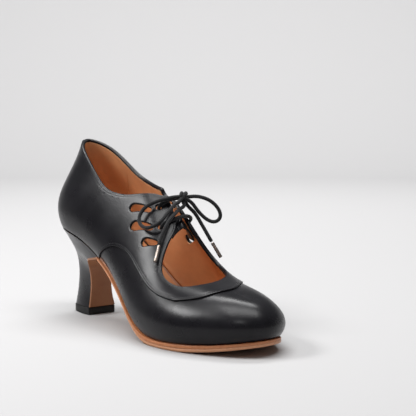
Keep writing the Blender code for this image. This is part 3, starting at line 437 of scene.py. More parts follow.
def section_controls():
    """Knots round the ring, and seven control points for the section at each of them.

    In plan a control lies between feather and crown by its share, pushed out by the bulge. Its height
    is a share of the crown's, which follows the slope of the instep where the section closes over it.
    """
    feather, crown, values = station_rings()
    knots = ring_knots(feather)
    out = outward_plan(knots, feather)
    high = (crown[:, 2] - feather[:, 2])[:, None, None]
    tall = np.clip((high - LOW_TOE) / (TALL_INSTEP - LOW_TOE), 0, 1)
    steep = values["steep"][:, None, None]
    closing = np.array(TOE_SECTION) * (1 - tall) + np.array(INSTEP_SECTION) * tall
    section = closing * (1 - steep) + np.array(WALL_SECTION) * steep
    across, up, push = section[..., 0:1], section[..., 1], section[..., 2:3]
    points = feather[:, None] * (1 - across) + crown[:, None] * across
    points = points + push * values["bulge"][:, None, None] * out[:, None]
    forward = points[..., 0] - crown[:, None, 0]
    follow = (1 - steep[..., 0]) * np.clip(up * 2 - 1, 0, 1)
    top = crown[:, None, 2] - crown_fall(crown)[:, None] * forward * follow
    points[..., 2] = feather[:, None, 2] * (1 - up) + up * top
    return knots, points


def blend_section(points, up):
    """Cubic B-spline of seven control points, from 0 at the feather edge to 1 at the crown line."""
    knots = SECTION_KNOTS
    up = np.clip(up, 0, 1 - 1e-12)
    weights = [((knots[i] <= up) & (up < knots[i + 1])).astype(float) for i in range(10)]
    for degree in (1, 2, 3):
        raised = []
        for i in range(10 - degree):
            rise, fall = knots[i + degree] - knots[i], knots[i + degree + 1] - knots[i + 1]
            left = (up - knots[i]) / rise * weights[i] if rise > 0 else 0 * up
            right = (knots[i + degree + 1] - up) / fall * weights[i + 1] if fall > 0 else 0 * up
            raised.append(left + right)
        weights = raised
    return sum(weight[..., None] * points[..., i, :] for i, weight in enumerate(weights))


def last_surface(around, up):
    """Point of the last's surface. around: 0 at the back, by the outer side to 0.5 at the toe, to 1."""
    knots, points = section_controls()
    return blend_section(smooth_through(knots, points, around, 1.0), np.asarray(up, float))


def last_normals(around, up):
    """Unit normals that point out of the shoe, from steps along the surface beside each place."""
    small = 1e-3
    up = np.clip(up, 2 * small, RIDGE_NORMAL)
    round_step = last_surface(around + small, up) - last_surface(around - small, up)
    up_step = last_surface(around, up + small) - last_surface(around, up - small)
    return unit(np.cross(round_step, up_step))


# The upper's pattern


def pattern_of(around, up):
    """Pattern place of a place on the last: an ellipse for each height, shrinking to a line at the crown."""
    turn = 2 * math.pi * around
    return np.stack([-np.cos(turn) * (1 - PATTERN_LINE * up), -np.sin(turn) * (1 - up)], -1)


def last_of(pattern):
    """Place on the last of a pattern place: the ellipse through it is found by halving."""
    x, y = pattern[..., 0], np.abs(pattern[..., 1])
    low, high = np.zeros(x.shape), np.ones(x.shape)
    for _ in range(44):
        up = (low + high) / 2
        outside = (x / (1 - PATTERN_LINE * up)) ** 2 + (y / np.maximum(1 - up, 1e-12)) ** 2 > 1
        high, low = np.where(outside, up, high), np.where(outside, low, up)
    along = np.clip(-x / (1 - PATTERN_LINE * low), -1, 1)
    across = np.where(1 - low > 1e-6, y / np.maximum(1 - low, 1e-6), np.sqrt(np.maximum(1 - along**2, 0)))
    half_turn = np.arctan2(across, along) / (2 * math.pi)
    return np.where(pattern[..., 1] <= 0, half_turn, 1 - half_turn), low


def room(around):
    """How far the upper gives way to the overlay round the ring, so that the overlay keeps the outline."""
    feather, _, values = station_rings()
    set_in = smooth_through(ring_knots(feather), values["set_in"], around, 1.0)
    return (OVERLAY + GAP) * np.clip(set_in, 0, 1)


def soft_step(value, low, high):
    """0 below low, 1 above high, and a smooth cubic between them."""
    share = np.clip((value - low) / (high - low), 0, 1)
    return share * share * (3 - 2 * share)


def skin(around, up):
    """Point and unit normal of the last, with both sides drawn together where they meet at the crown."""
    point, normal = last_surface(around, up), last_normals(around, up)
    crown, other = last_surface(around, 1 + 0 * up), last_surface(1 - around, 1 + 0 * up)
    top, other_top = last_normals(around, 1 + 0 * up), last_normals(1 - around, 1 + 0 * up)
    closed = np.linalg.norm(crown - other, axis=-1) < 2 * CROWN_CLOSED
    share = (soft_step(up, 0.84, 1.0) * closed)[..., None]
    point = point + share * (other - crown) / 2
    normal = normal + share * (other_top - top) / 2
    return point, unit(normal)


def layer(pattern, out):
    """Points of a layer at a distance out from the last, less the overlay's room, and the normals."""
    around, up = last_of(pattern)
    point, normal = skin(around, up)
    return point + normal * (out - room(around))[..., None], normal


def on_last(pattern):
    """Points of the last at pattern places, less the overlay's room."""
    return layer(pattern, np.zeros(len(pattern)))[0]


def find_on_last(points, directions):
    """Pattern places where lines meet the last: from the nearest place of a grid, by Newton's steps."""
    around, up = np.meshgrid(np.linspace(0, 1, 160, endpoint=False), np.linspace(0.01, 1, 50), indexing="ij")
    around, up = around.ravel(), up.ravel()
    offset = last_surface(around, up)[None] - points[:, None]
    along = (offset * directions[:, None]).sum(-1)
    far = np.linalg.norm(offset - along[..., None] * directions[:, None], axis=-1) + 0.05 * np.abs(along)
    nearest = far.argmin(1)
    around, up = around[nearest], up[nearest]
    first = unit(np.cross(directions, np.array([0.31, 0.87, 0.41])))
    second = np.cross(directions, first)
    small = 1e-5

    def miss(a, b):
        gap = last_surface(a, b) - points
        return np.stack([(gap * first).sum(-1), (gap * second).sum(-1)], -1)

    for _ in range(10):
        here = miss(around, up)
        turn = (miss(around + small, up) - here) / small
        rise = (here - miss(around, up - small)) / small
        det = turn[:, 0] * rise[:, 1] - turn[:, 1] * rise[:, 0]
        det = np.where(np.abs(det) < 1e-12, 1e-12, det)
        step_around = -(here[:, 0] * rise[:, 1] - here[:, 1] * rise[:, 0]) / det
        step_up = -(turn[:, 0] * here[:, 1] - turn[:, 1] * here[:, 0]) / det
        around = around + np.clip(step_around, -0.02, 0.02)
        up = up + np.clip(step_up, -0.1, 0.1)
        over = up > 1
        around, up = np.where(over, 1 - around, around), np.clip(np.where(over, 2 - up, up), 0, 1)
    return pattern_of(around, up)


def resample(pattern, step, closed):
    """The line through pattern places, with points a step apart on the last."""
    rows = np.concatenate([pattern, pattern[:1]]) if closed else pattern
    points = on_last(rows)
    far = np.concatenate([[0], np.cumsum(np.linalg.norm(np.diff(points, axis=0), axis=1))])
    count = max(4, int(round(far[-1] / step)))
    at = np.linspace(0, far[-1], count + 1)
    at = at[:-1] if closed else at
    return np.stack([np.interp(at, far, rows[:, 0]), np.interp(at, far, rows[:, 1])], -1)


def soften(pattern, spread):
    """A closed line with its corners rounded, each place a bell weighted mean of its neighbours."""
    reach = np.arange(-3 * spread, 3 * spread + 1)
    weight = np.exp(-0.5 * (reach / spread) ** 2)
    return sum(w * np.roll(pattern, r, 0) for w, r in zip(weight / weight.sum(), reach))


def jacobian(pattern):
    """Steps on the last for steps in the pattern, along its x and its y, and the normals."""
    small = 1e-4
    here, normal = layer(pattern, np.zeros(len(pattern)))
    steps = []
    for step in (np.array([small, 0.0]), np.array([0.0, small])):
        away = on_last(pattern + step)
        back = on_last(pattern - step)
        steps.append((away - back) / (2 * small))
    return here, normal, steps[0], steps[1]


def move_in(pattern, distance, closed, side):
    """The line moved across itself over the last by a distance, to its left with side 1, in small steps."""
    count = max(1, int(math.ceil(abs(distance) / 0.001)))
    for _ in range(count):
        here, normal, along_x, along_y = jacobian(pattern)
        if closed:
            tangent = np.roll(here, -1, 0) - np.roll(here, 1, 0)
        else:
            tangent = np.gradient(here, axis=0)
        away = unit(np.cross(normal, tangent)) * side * distance / count
        xx, xy, yy = (along_x**2).sum(1), (along_x * along_y).sum(1), (along_y**2).sum(1)
        px, py = (away * along_x).sum(1), (away * along_y).sum(1)
        det = xx * yy - xy * xy
        pattern = pattern + np.stack([(px * yy - py * xy) / det, (py * xx - px * xy) / det], -1)
    return pattern


def set_back(rim, depth, side):
    """A closed rim moved in, without the points that corners would fold over it, evenly spaced again."""
    line = move_in(rim, depth, True, side)
    rim_points = on_last(rim)
    clear = distance_to(on_last(line), rim_points) > depth * 0.93
    return resample(line[clear], RIM_STEP, True)


def inside(places, outline):
    """Whether places lie in a closed outline: where a ray to the right crosses it an odd number of times."""
    result = np.zeros(len(places), bool)
    x, y = places[:, 0], places[:, 1]
    for (x0, y0), (x1, y1) in zip(outline, np.roll(outline, -1, 0)):
        if y0 != y1:
            crosses = (y0 > y) != (y1 > y)
            result ^= crosses & (x < x0 + (y - y0) / (y1 - y0) * (x1 - x0))
    return result


def distance_to(points, line):
    """Distance of points to the nearest point of a line, in portions."""
    result = np.empty(len(points))
    for start in range(0, len(points), 1500):
        part = points[start:start + 1500]
        result[start:start + 1500] = np.sqrt(((part[:, None] - line[None]) ** 2).sum(-1).min(1))
    return result


def collar_height(x, y):
    """Height of the collar's curve at x and y."""
    along = column(COLLAR, COLLAR_COLUMNS, "along")
    share = np.clip((x + HEEL_OVERHANG) / SHOE_LENGTH, along[0], along[-1])
    high = smooth_through(along, column(COLLAR, COLLAR_COLUMNS, "high"), share)
    tilt = smooth_through(along, column(COLLAR, COLLAR_COLUMNS, "tilt"), share)
    return (high + tilt * y / TILT_REACH) * INSTEP_HEIGHT


def plan_rows(table):
    """A table's places in plan, as rows of x and y."""
    along, across = column(table, PLAN_COLUMNS, "along"), column(table, PLAN_COLUMNS, "across")
    return np.column_stack([place_along(along), across * BALL_HALF])


def step_knots(rows):
    """How far along the rows each of them lies, from step to step."""
    return np.concatenate([[0], np.cumsum(np.linalg.norm(np.diff(rows, axis=0), axis=1))])


def collar_crossing(around):
    """How far up the last the collar's curve crosses the columns, by halving."""
    low, high = np.full(len(around), 0.3), np.ones(len(around))
    for _ in range(40):
        up = (low + high) / 2
        point = last_surface(around, up)
        over = point[:, 2] > collar_height(point[:, 0], point[:, 1])
        high, low = np.where(over, up, high), np.where(over, low, up)
    return low


def mouth_outline():
    """Pattern outline of the one opening of collar, slit and keyhole."""
    rows = plan_rows(THROAT)
    knots = step_knots(np.concatenate([rows, rows[:1]]))
    plan = smooth_through(knots[:-1], rows, np.linspace(0, knots[-1], 900, endpoint=False), knots[-1])
    points = np.column_stack([plan, np.full(len(plan), 0.7 * INSTEP_HEIGHT)])
    throat = find_on_last(points, np.tile([0.0, 0.0, 1.0], (len(points), 1)))
    place = last_surface(*last_of(throat))
    below = place[:, 2] < collar_height(place[:, 0], place[:, 1])
    throat = throat[below][::-1]
    around = np.mod(np.linspace(0.36, -0.36, 1400), 1.0)
    crown = last_surface(around, np.ones(len(around)))
    reaches = crown[:, 2] > collar_height(crown[:, 0], crown[:, 1])
    up = collar_crossing(around)
    keep = reaches & ~inside(last_surface(around, up)[:, :2], plan)
    collar = pattern_of(around[keep], up[keep])
    outline = resample(np.concatenate([collar, throat]), 0.0004, True)
    return resample(soften(outline, 3), RIM_STEP, True)


def overlay_clear(point):
    """How far a place lies inside the overlay's edge: over its wings, and behind its front in plan."""
    along = column(OVERLAY_EDGE, EDGE_COLUMNS, "along")
    share = (point[..., 0] - SKEW * (point[..., 1] + BALL_HALF) + HEEL_OVERHANG) / SHOE_LENGTH
    share = np.clip(share, along[0], along[-1])
    edge = smooth_through(along, column(OVERLAY_EDGE, EDGE_COLUMNS, "high"), share)
    front = plan_rows(OVERLAY_FRONT)
    arc = smooth_through(step_knots(front), front, np.linspace(0, step_knots(front)[-1], 200))
    ahead = np.interp(point[..., 1], arc[:, 1], arc[:, 0])
    over = point[..., 2] - edge * INSTEP_HEIGHT
    return np.minimum(over, (ahead - point[..., 0]) * 0.8)


def overlay_edge():
    """Pattern line of the overlay's lower edge, from the heel's outer side round the front to its inner."""
    around = np.linspace(0.06, 0.94, 1400)
    ups = np.linspace(0, 1, 160)
    columns, rows = np.meshgrid(around, ups, indexing="ij")
    clear = overlay_clear(last_surface(columns, rows)) > 0
    starts = ~clear[:, 0] & clear.any(1)
    first = clear.argmax(1)
    low, high = ups[np.maximum(first - 1, 0)], ups[first]
    for _ in range(30):
        up = (low + high) / 2
        over = overlay_clear(last_surface(around, up)) > 0
        high, low = np.where(over, up, high), np.where(over, low, up)
    around, low = around[starts], low[starts]
    return resample(pattern_of(around, low), RIM_STEP, False)


def slot_outline(long, wide):
    """A slot's outline: a round back end, straight sides and a smaller round front end."""
    big, small = wide / 2, wide / 2 * SLOT_TAPER
    reach = long - big - small
    lean = math.asin((big - small) / reach)
    back = np.linspace(math.pi / 2 - lean, 3 * math.pi / 2 + lean, 24)
    front = np.linspace(-math.pi / 2 + lean, math.pi / 2 - lean, 16)
    tail = np.column_stack([big * np.cos(back) - reach / 2, big * np.sin(back)])
    tip = np.column_stack([small * np.cos(front) + reach / 2, small * np.sin(front)])
    return np.concatenate([tail, tip])


def side_hole(along, high, side, outline, rise):
    """Pattern outline of a hole square to the surface, with its middle at a place on one side."""
    x, z = float(place_along(along)), high * INSTEP_HEIGHT
    if side > 0:
        x = x + SKEW * 2 * SIDE_HALF
    around = np.linspace(0.0, 0.5, 361)[1:-1]
    around = around if side < 0 else 1 - around
    columns, ups = np.meshgrid(around, np.linspace(0, 1, 161), indexing="ij")
    grid = last_surface(columns, ups)
    at = np.hypot(grid[..., 0] - x, grid[..., 2] - z).argmin()
    point, normal = grid.reshape(-1, 3)[at], last_normals(columns.ravel()[at], ups.ravel()[at])
    forward = np.array([math.cos(math.radians(rise)), 0, math.sin(math.radians(rise))])
    forward = forward - normal * (forward @ normal)
    forward = forward / np.linalg.norm(forward)
    square = np.cross(normal, forward) * side
    flat = point + outline[:, :1] * forward + outline[:, 1:] * square
    return resample(find_on_last(flat, np.tile(normal, (len(flat), 1))), SLOT_STEP, True)


def area_sign(outline):
    """1 where a closed outline runs with its inside to the left, else -1."""
    x, y = outline[:, 0], outline[:, 1]
    return 1.0 if (x * np.roll(y, -1) - np.roll(x, -1) * y).sum() > 0 else -1.0


def turned_out(points, faces):
    """A closed body's triangles, turned outward: its signed volume tells whether they face in."""
    a, b, c = (np.asarray(points)[faces[:, k]] for k in range(3))
    return faces if (np.cross(a, b) * c).sum() > 0 else faces[:, ::-1]


def placed(name, mesh, finish):
    """An object at the origin for a finished mesh, on the shoe's one body."""
    made = bpy.data.objects.new(name, mesh)
    bpy.context.scene.collection.objects.link(made)
    mesh.materials.append(finish)
    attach(made, "root")
    return made


def give_uv(mesh, uv):
    """A UV map that gives each corner the UV of its point."""
    place = mesh.uv_layers.new(name="UVMap")
    corner = np.empty(len(mesh.loops), np.int32)
    mesh.loops.foreach_get("vertex_index", corner)
    place.data.foreach_set("uv", np.asarray(uv)[corner].astype(np.float32).ravel())


def mesh_object(name, points, faces, finish, uv=None):
    """A smooth object at the origin for points and faces, with its material and a UV for each point."""
    mesh = bpy.data.meshes.new(name)
    mesh.from_pydata(np.asarray(points).tolist(), [], [tuple(face) for face in np.asarray(faces).tolist()])
    mesh.shade_smooth()
    if uv is not None:
        give_uv(mesh, uv)
    return placed(name, mesh, finish)


def grid_faces(rows, columns, wrap_rows=False, wrap_columns=False):
    """Quads of a grid of points stored row by row, closed in either direction."""
    i = np.arange(rows if wrap_rows else rows - 1)[:, None]
    j = np.arange(columns if wrap_columns else columns - 1)[None]
    k, m = (i + 1) % rows, (j + 1) % columns
    return np.stack([i * columns + j, i * columns + m, k * columns + m, k * columns + j], -1).reshape(-1, 4)


def cut_pattern(outline, holes, rims, creases=()):
    """Triangles of the pattern inside an outline and outside its holes.

    Places are the cut lines, lines beside the rims at the rim depths, lines on both sides of the
    creases, and an even grid elsewhere.
    """
    around, up = np.meshgrid(
        np.linspace(0, 1, GRID_AROUND, endpoint=False), np.linspace(0, 1, GRID_UP)[1:], indexing="ij")
    keep = (up < 1) | (around <= 0.5)
    grid = pattern_of(around[keep], up[keep])
    rim_points = np.concatenate([on_last(rim) for rim, _, _ in rims])
    grid_points = on_last(grid)
    clear = distance_to(grid_points, rim_points) > RIM_CLEAR
    lines = [move_in(crease, depth, False, 1) for crease in creases for depth in CREASE_DEPTHS]
    lines = [line[distance_to(on_last(line), rim_points) > RIM_CLEAR] for line in lines]
    if lines:
        crease_points = np.concatenate([on_last(crease) for crease in creases])
        clear &= distance_to(grid_points, crease_points) > CREASE_CLEAR
    loose = [grid[clear]] + lines
    for rim, closed, side in rims:
        for depth in RIM_DEPTHS:
            line = move_in(rim, depth, closed, side)
            far = distance_to(on_last(line), rim_points)
            loose.append(line[far > depth * 0.86])
    loose = np.concatenate(loose)
    loops = [outline] + holes
    good = inside(loose, outline)
    for hole in holes:
        good &= ~inside(loose, hole)
    places = np.concatenate(loops + [loose[good]])
    edges, start = [], 0
    for loop in loops:
        at = np.arange(len(loop))
        edges += np.stack([start + at, start + (at + 1) % len(loop)], -1).tolist()
        start += len(loop)
    cut = geometry.delaunay_2d_cdt([Vector(place) for place in places.tolist()], edges, [], 0, 1e-7)
    places, faces = np.array([tuple(place) for place in cut[0]]), np.array([tuple(face) for face in cut[2]])
    middle = places[faces].mean(1)
    good = inside(middle, outline)
    for hole in holes:
        good &= ~inside(middle, hole)
    faces = faces[good]
    corners = places[faces]
    ahead, over = corners[:, 1] - corners[:, 0], corners[:, 2] - corners[:, 0]
    turned = ahead[:, 0] * over[:, 1] - ahead[:, 1] * over[:, 0]
    faces = np.where((turned < 0)[:, None], faces[:, ::-1], faces)
    used = np.unique(faces)
    order = np.zeros(len(places), int)
    order[used] = np.arange(len(used))
    return places[used], order[faces]


def leather_piece(name, cut, lines, outer, inner, roll, finish):
    """A closed sheet of leather over cut pattern triangles, whose faces meet in a half round at its edges.

    lines are the pattern lines of all its edges. outer and inner give the distances out of its two
    faces from the pattern places. Within roll of an edge the thickness falls off as a half circle.
    """
    places, faces = cut
    here = on_last(places)
    edge = np.concatenate([on_last(line) for line in lines])
    far = distance_to(here, edge)
    far = np.where(far < 2e-5, 0, far)
    top, base = outer(places, here), inner(places, here)
    middle, half = (top + base) / 2, (top - base) / 2
    near = np.clip(far / roll, 0, 1)
    half = half * np.sqrt(1 - (1 - near) ** 2)
    outside, _ = layer(places, middle + half)
    within, _ = layer(places, middle - half)
    other = np.where(far > 0, np.arange(len(places)) + len(places), np.arange(len(places)))
    whole = np.concatenate([faces, other[faces[:, ::-1]]])
    whole = whole[(whole[:, 0] != whole[:, 1]) & (whole[:, 1] != whole[:, 2]) & (whole[:, 0] != whole[:, 2])]
    both = np.concatenate([outside, within])
    used = np.unique(whole)
    order = np.zeros(len(both), int)
    order[used] = np.arange(len(used))
    return mesh_object(name, both[used], order[whole], finish)


def groove(far, at, deep=1.0):
    """Depth of a furrow at a distance from an edge, bell shaped across, as a share of the usual one."""
    return deep * GROOVE_DEEP * np.exp(-(((far - at) / GROOVE_WIDE) ** 2))


def stitched_edge(far):
    """Depth of the two furrows on either side of a stitch row beside an edge."""
    return groove(far, STITCH_IN - FURROW_OUT) + groove(far, STITCH_IN + FURROW_OUT, 0.7)


# Lofts, tubes and stitches


def tube(name, path, radius, finish, around=20, braid=0.0, cap=0.6):
    """A round tube along points: at each, a ring square to the path, whose ends fall off as half circles.

    radius is one number or one for each point. braid over 0 adds a braid's ridges, the product of two
    cosines that climb round the tube both ways.
    """
    path = np.asarray(path)
    count = len(path)
    radius = np.broadcast_to(np.asarray(radius, float), (count,))
    ahead = unit(np.gradient(path, axis=0))
    flat = np.linalg.svd(path - path.mean(0))[2][-1]
    side = unit(np.cross(ahead, flat))
    other = np.cross(ahead, side)
    far = step_knots(path)
    turn = np.linspace(0, 2 * math.pi, around, endpoint=False)
    climb = far[:, None] * math.pi / radius.max()
    ridge = np.cos(4 * turn[None] + climb) * np.cos(4 * turn[None] - climb)
    end = np.minimum(far, far[-1] - far) / (cap * radius.max())
    fall = np.sqrt(np.clip(1 - (1 - np.clip(end, 0, 1)) ** 2, 0.01, 1))
    reach = (radius * fall)[:, None] * (1 - 0.4 * braid + braid * ridge)
    points = path[:, None] + reach[..., None] * (
        np.cos(turn)[None, :, None] * side[:, None] + np.sin(turn)[None, :, None] * other[:, None])
    points = np.concatenate([points.reshape(-1, 3), path[:1], path[-1:]])
    quads = grid_faces(count, around, wrap_columns=True)
    step = np.arange(around)
    ends = [
        np.stack([np.full(around, count * around), (step + 1) % around, step], -1),
        np.stack([np.full(around, count * around + 1), step + (count - 1) * around,
                  (step + 1) % around + (count - 1) * around], -1),
    ]
    faces = np.concatenate([quads[:, [0, 1, 2]], quads[:, [0, 2, 3]]] + [end[:, ::-1] for end in ends])
    down, across = np.meshgrid(far / (2 * math.pi * radius.max()), turn / (2 * math.pi), indexing="ij")
    uv = np.concatenate([np.stack([across.ravel(), down.ravel()], -1), [[0.5, 0.0], [0.5, down.max()]]])
    return mesh_object(name, points, turned_out(points, faces), finish, uv)


def stitch_row(name, path, normals, finish, pitch=STITCH_PITCH, long=STITCH_LONG):
    """A row of stitches along points: small ellipsoids a pitch apart, laid along the line on the surface."""
    far = step_knots(path)
    count = int(far[-1] / pitch)
    at = (np.arange(count) + 0.5) * pitch
    place, normal, ahead = (
        np.stack([np.interp(at, far, rows[:, k]) for k in range(3)], -1)
        for rows in (path, normals, np.gradient(path, axis=0)))
    normal = unit(normal)
    ahead = unit(ahead - normal * (ahead * normal).sum(1)[:, None])
    square = np.cross(normal, ahead)
    lean_along, lean_across = math.cos(STITCH_LEAN), math.sin(STITCH_LEAN)
    ahead, square = ahead * lean_along + square * lean_across, square * lean_along - ahead * lean_across
    tall, turn = np.linspace(0, math.pi, 6)[1:-1], np.linspace(0, 2 * math.pi, 7, endpoint=False)
    ring = np.stack([
        np.cos(tall)[:, None] * long / 2 + 0 * turn[None],
        np.sin(tall)[:, None] * np.cos(turn)[None] * STITCH_WIDE / 2,
        np.sin(tall)[:, None] * np.sin(turn)[None] * STITCH_HIGH / 2,
    ], -1).reshape(-1, 3)
    ring = np.concatenate([ring, [(long / 2, 0, 0), (-long / 2, 0, 0)]])
    rows, columns = len(tall), len(turn)
    quads = grid_faces(rows, columns, wrap_columns=True)
    tri = np.concatenate([quads[:, [0, 1, 2]], quads[:, [0, 2, 3]]])
    j = np.arange(columns)
    first, last = rows * columns, rows * columns + 1
    tri = np.concatenate([
        tri, np.stack([np.full(columns, first), (j + 1) % columns, j], -1),
        np.stack([first - columns + j, first - columns + (j + 1) % columns, np.full(columns, last)], -1),
    ])
    tri = turned_out(ring, tri)
    points = place[:, None] + ring[None, :, :1] * ahead[:, None] + ring[None, :, 1:2] * square[:, None]
    points = points + ring[None, :, 2:] * normal[:, None]
    faces = tri[None] + (np.arange(count) * len(ring))[:, None, None]
    return mesh_object(name, points.reshape(-1, 3), faces.reshape(-1, 3), finish)


# Material nodes


def plain(name, colour, roughness, metallic=0.0):
    """A Principled material, its shader and its node tree."""
    made = bpy.data.materials.new(name)
    made.use_nodes = True
    shader = made.node_tree.nodes["Principled BSDF"]
    shader.inputs["Base Color"].default_value = (*colour, 1.0)
    shader.inputs["Roughness"].default_value = roughness
    shader.inputs["Metallic"].default_value = metallic
    return made, shader, made.node_tree


def noise(tree, place, scale, detail=2.0, rough=0.5):
    """Noise over a place, with its value between 0 and 1."""
    node = tree.nodes.new("ShaderNodeTexNoise")
    node.inputs["Scale"].default_value = scale
    node.inputs["Detail"].default_value = detail
    node.inputs["Roughness"].default_value = rough
    tree.links.new(place, node.inputs["Vector"])
    return node.outputs["Fac"]


def ramp(tree, value, low, high, out_low, out_high):
    """A value moved from one range to another, held within it."""
    node = tree.nodes.new("ShaderNodeMapRange")
    for name, number in (("From Min", low), ("From Max", high), ("To Min", out_low), ("To Max", out_high)):
        node.inputs[name].default_value = number
    tree.links.new(value, node.inputs["Value"])
    return node.outputs["Result"]


def tone(tree, value, first, second):
    """A colour between two, by a value."""
    node = tree.nodes.new("ShaderNodeMix")
    node.data_type = "RGBA"
    node.inputs[6].default_value = (*first, 1.0)
    node.inputs[7].default_value = (*second, 1.0)
    tree.links.new(value, node.inputs[0])
    return node.outputs[2]


def blend_tone(tree, value, first, second):
    """A colour between two outputs, by a value."""
    node = tree.nodes.new("ShaderNodeMix")
    node.data_type = "RGBA"
    tree.links.new(value, node.inputs[0])
    tree.links.new(first, node.inputs[6])
    tree.links.new(second, node.inputs[7])
    return node.outputs[2]


def bump(tree, shader, heights):
    """Bumps in turn, each a value with its depth in metres, onto a shader's normal."""
    last = None
    for value, depth in heights:
        node = tree.nodes.new("ShaderNodeBump")
        node.inputs["Strength"].default_value = 1.0
        node.inputs["Distance"].default_value = depth
        tree.links.new(value, node.inputs["Height"])
        if last is not None:
            tree.links.new(last, node.inputs["Normal"])
        last = node.outputs["Normal"]
    tree.links.new(last, shader.inputs["Normal"])


def cells(tree, place, scale):
    """Distance within the cells of a Voronoi pattern."""
    node = tree.nodes.new("ShaderNodeTexVoronoi")
    node.feature = "F1"
    node.inputs["Scale"].default_value = scale
    tree.links.new(place, node.inputs["Vector"])
    return node.outputs["Distance"]


def leather(name, base, other, roughness, grain, pore_depth, crease, shine=0.4):
    """Leather: two tones in soft patches, pores and creases in relief, and a gloss that wanders."""
    made, shader, tree = plain(name, base, roughness)
    place = tree.nodes.new("ShaderNodeTexCoord").outputs["Object"]
    patches = ramp(tree, noise(tree, place, 55.0, 4.0, 0.6), 0.35, 0.68, 0.0, 1.0)
    tree.links.new(tone(tree, patches, base, other), shader.inputs["Base Color"])
    gloss = noise(tree, place, 60.0, 3.0, 0.5)
    gloss = ramp(tree, gloss, 0.3, 0.7, roughness - 0.035, roughness + 0.045)
    tree.links.new(gloss, shader.inputs["Roughness"])
    shader.inputs["Specular IOR Level"].default_value = shine
    pores = cells(tree, place, grain)
    slow = noise(tree, place, 45.0, 2.0, 0.5)
    bump(tree, shader, ((slow, crease), (pores, pore_depth)))
    return made


def sole_edge_leather(name):
    """The sole's leather: its UV gives the level on the edge, for a lighter lower layer and a line."""
    made, shader, tree = plain(name, (0.5, 0.2, 0.09), 0.5)
    coord = tree.nodes.new("ShaderNodeTexCoord")
    split = tree.nodes.new("ShaderNodeSeparateXYZ")
    tree.links.new(coord.outputs["UV"], split.inputs[0])
    place = coord.outputs["Object"]
    streaks = ramp(tree, noise(tree, place, 420.0, 4.0, 0.6), 0.35, 0.7, 0.0, 1.0)
    upper = tone(tree, streaks, (0.50, 0.185, 0.070), (0.42, 0.150, 0.055))
    lower = tone(tree, streaks, (0.60, 0.29, 0.15), (0.51, 0.235, 0.12))
    level = ramp(tree, split.outputs[1], 0.50, 0.58, 0.0, 1.0)
    edge = blend_tone(tree, level, lower, upper)
    seam = ramp(tree, split.outputs[1], 0.46, 0.50, 0.0, 1.0)
    dark = tree.nodes.new("ShaderNodeMath")
    dark.operation = "PINGPONG"
    dark.inputs[1].default_value = 0.5
    tree.links.new(seam, dark.inputs[0])
    line = tone(tree, streaks, (0.20, 0.075, 0.03), (0.16, 0.06, 0.025))
    shade = blend_tone(tree, dark.outputs[0], edge, line)
    tree.links.new(shade, shader.inputs["Base Color"])
    tree.links.new(ramp(tree, streaks, 0.0, 1.0, 0.42, 0.58), shader.inputs["Roughness"])
    bump(tree, shader, ((noise(tree, place, 900.0, 3.0, 0.6), 0.00006),))
    return made


def cloth(name, base, other, roughness):
    """Woven cotton: two tones of yarn and a soft sheen, with fine fibre relief."""
    made, shader, tree = plain(name, base, roughness)
    place = tree.nodes.new("ShaderNodeTexCoord").outputs["Object"]
    fibres = ramp(tree, noise(tree, place, 2600.0, 3.0, 0.7), 0.35, 0.7, 0.0, 1.0)
    tree.links.new(tone(tree, fibres, base, other), shader.inputs["Base Color"])
    shader.inputs["Sheen Weight"].default_value = 0.12
    shader.inputs["Specular IOR Level"].default_value = 0.25
    shader.inputs["Sheen Roughness"].default_value = 0.5
    bump(tree, shader, ((fibres, 0.00009),))
    return made


def metal(name, base, other, roughness):
    """Rolled metal with a wandering gloss and faint tarnish."""
    made, shader, tree = plain(name, base, roughness, 1.0)
    place = tree.nodes.new("ShaderNodeTexCoord").outputs["Object"]
    tarnish = ramp(tree, noise(tree, place, 700.0, 3.0, 0.6), 0.38, 0.72, 0.0, 1.0)
    tree.links.new(tone(tree, tarnish, base, other), shader.inputs["Base Color"])
    tree.links.new(ramp(tree, tarnish, 0.0, 1.0, roughness, roughness + 0.2), shader.inputs["Roughness"])
    bump(tree, shader, ((noise(tree, place, 1500.0, 2.0, 0.5), 0.00003),))
    return made


# Pieces below the foot


def feather_outline(around, out):
    """Points of the feather edge in plan, moved out from it, as rows of x and y."""
    feather, _, _ = station_rings()
    knots = ring_knots(feather)
    ahead = ring_direction(knots, feather, around)
    normal = unit(np.stack([ahead[:, 1], -ahead[:, 0]], -1))
    return smooth_through(knots, feather, around, 1.0)[:, :2] + normal * np.reshape(out, (-1, 1))


def around_at(x):
    """Place round the ring where the outer side's feather edge is at x."""
    around = np.linspace(0, 0.5, 721)
    return np.interp(x, feather_outline(around, 0.0)[:, 0], around)


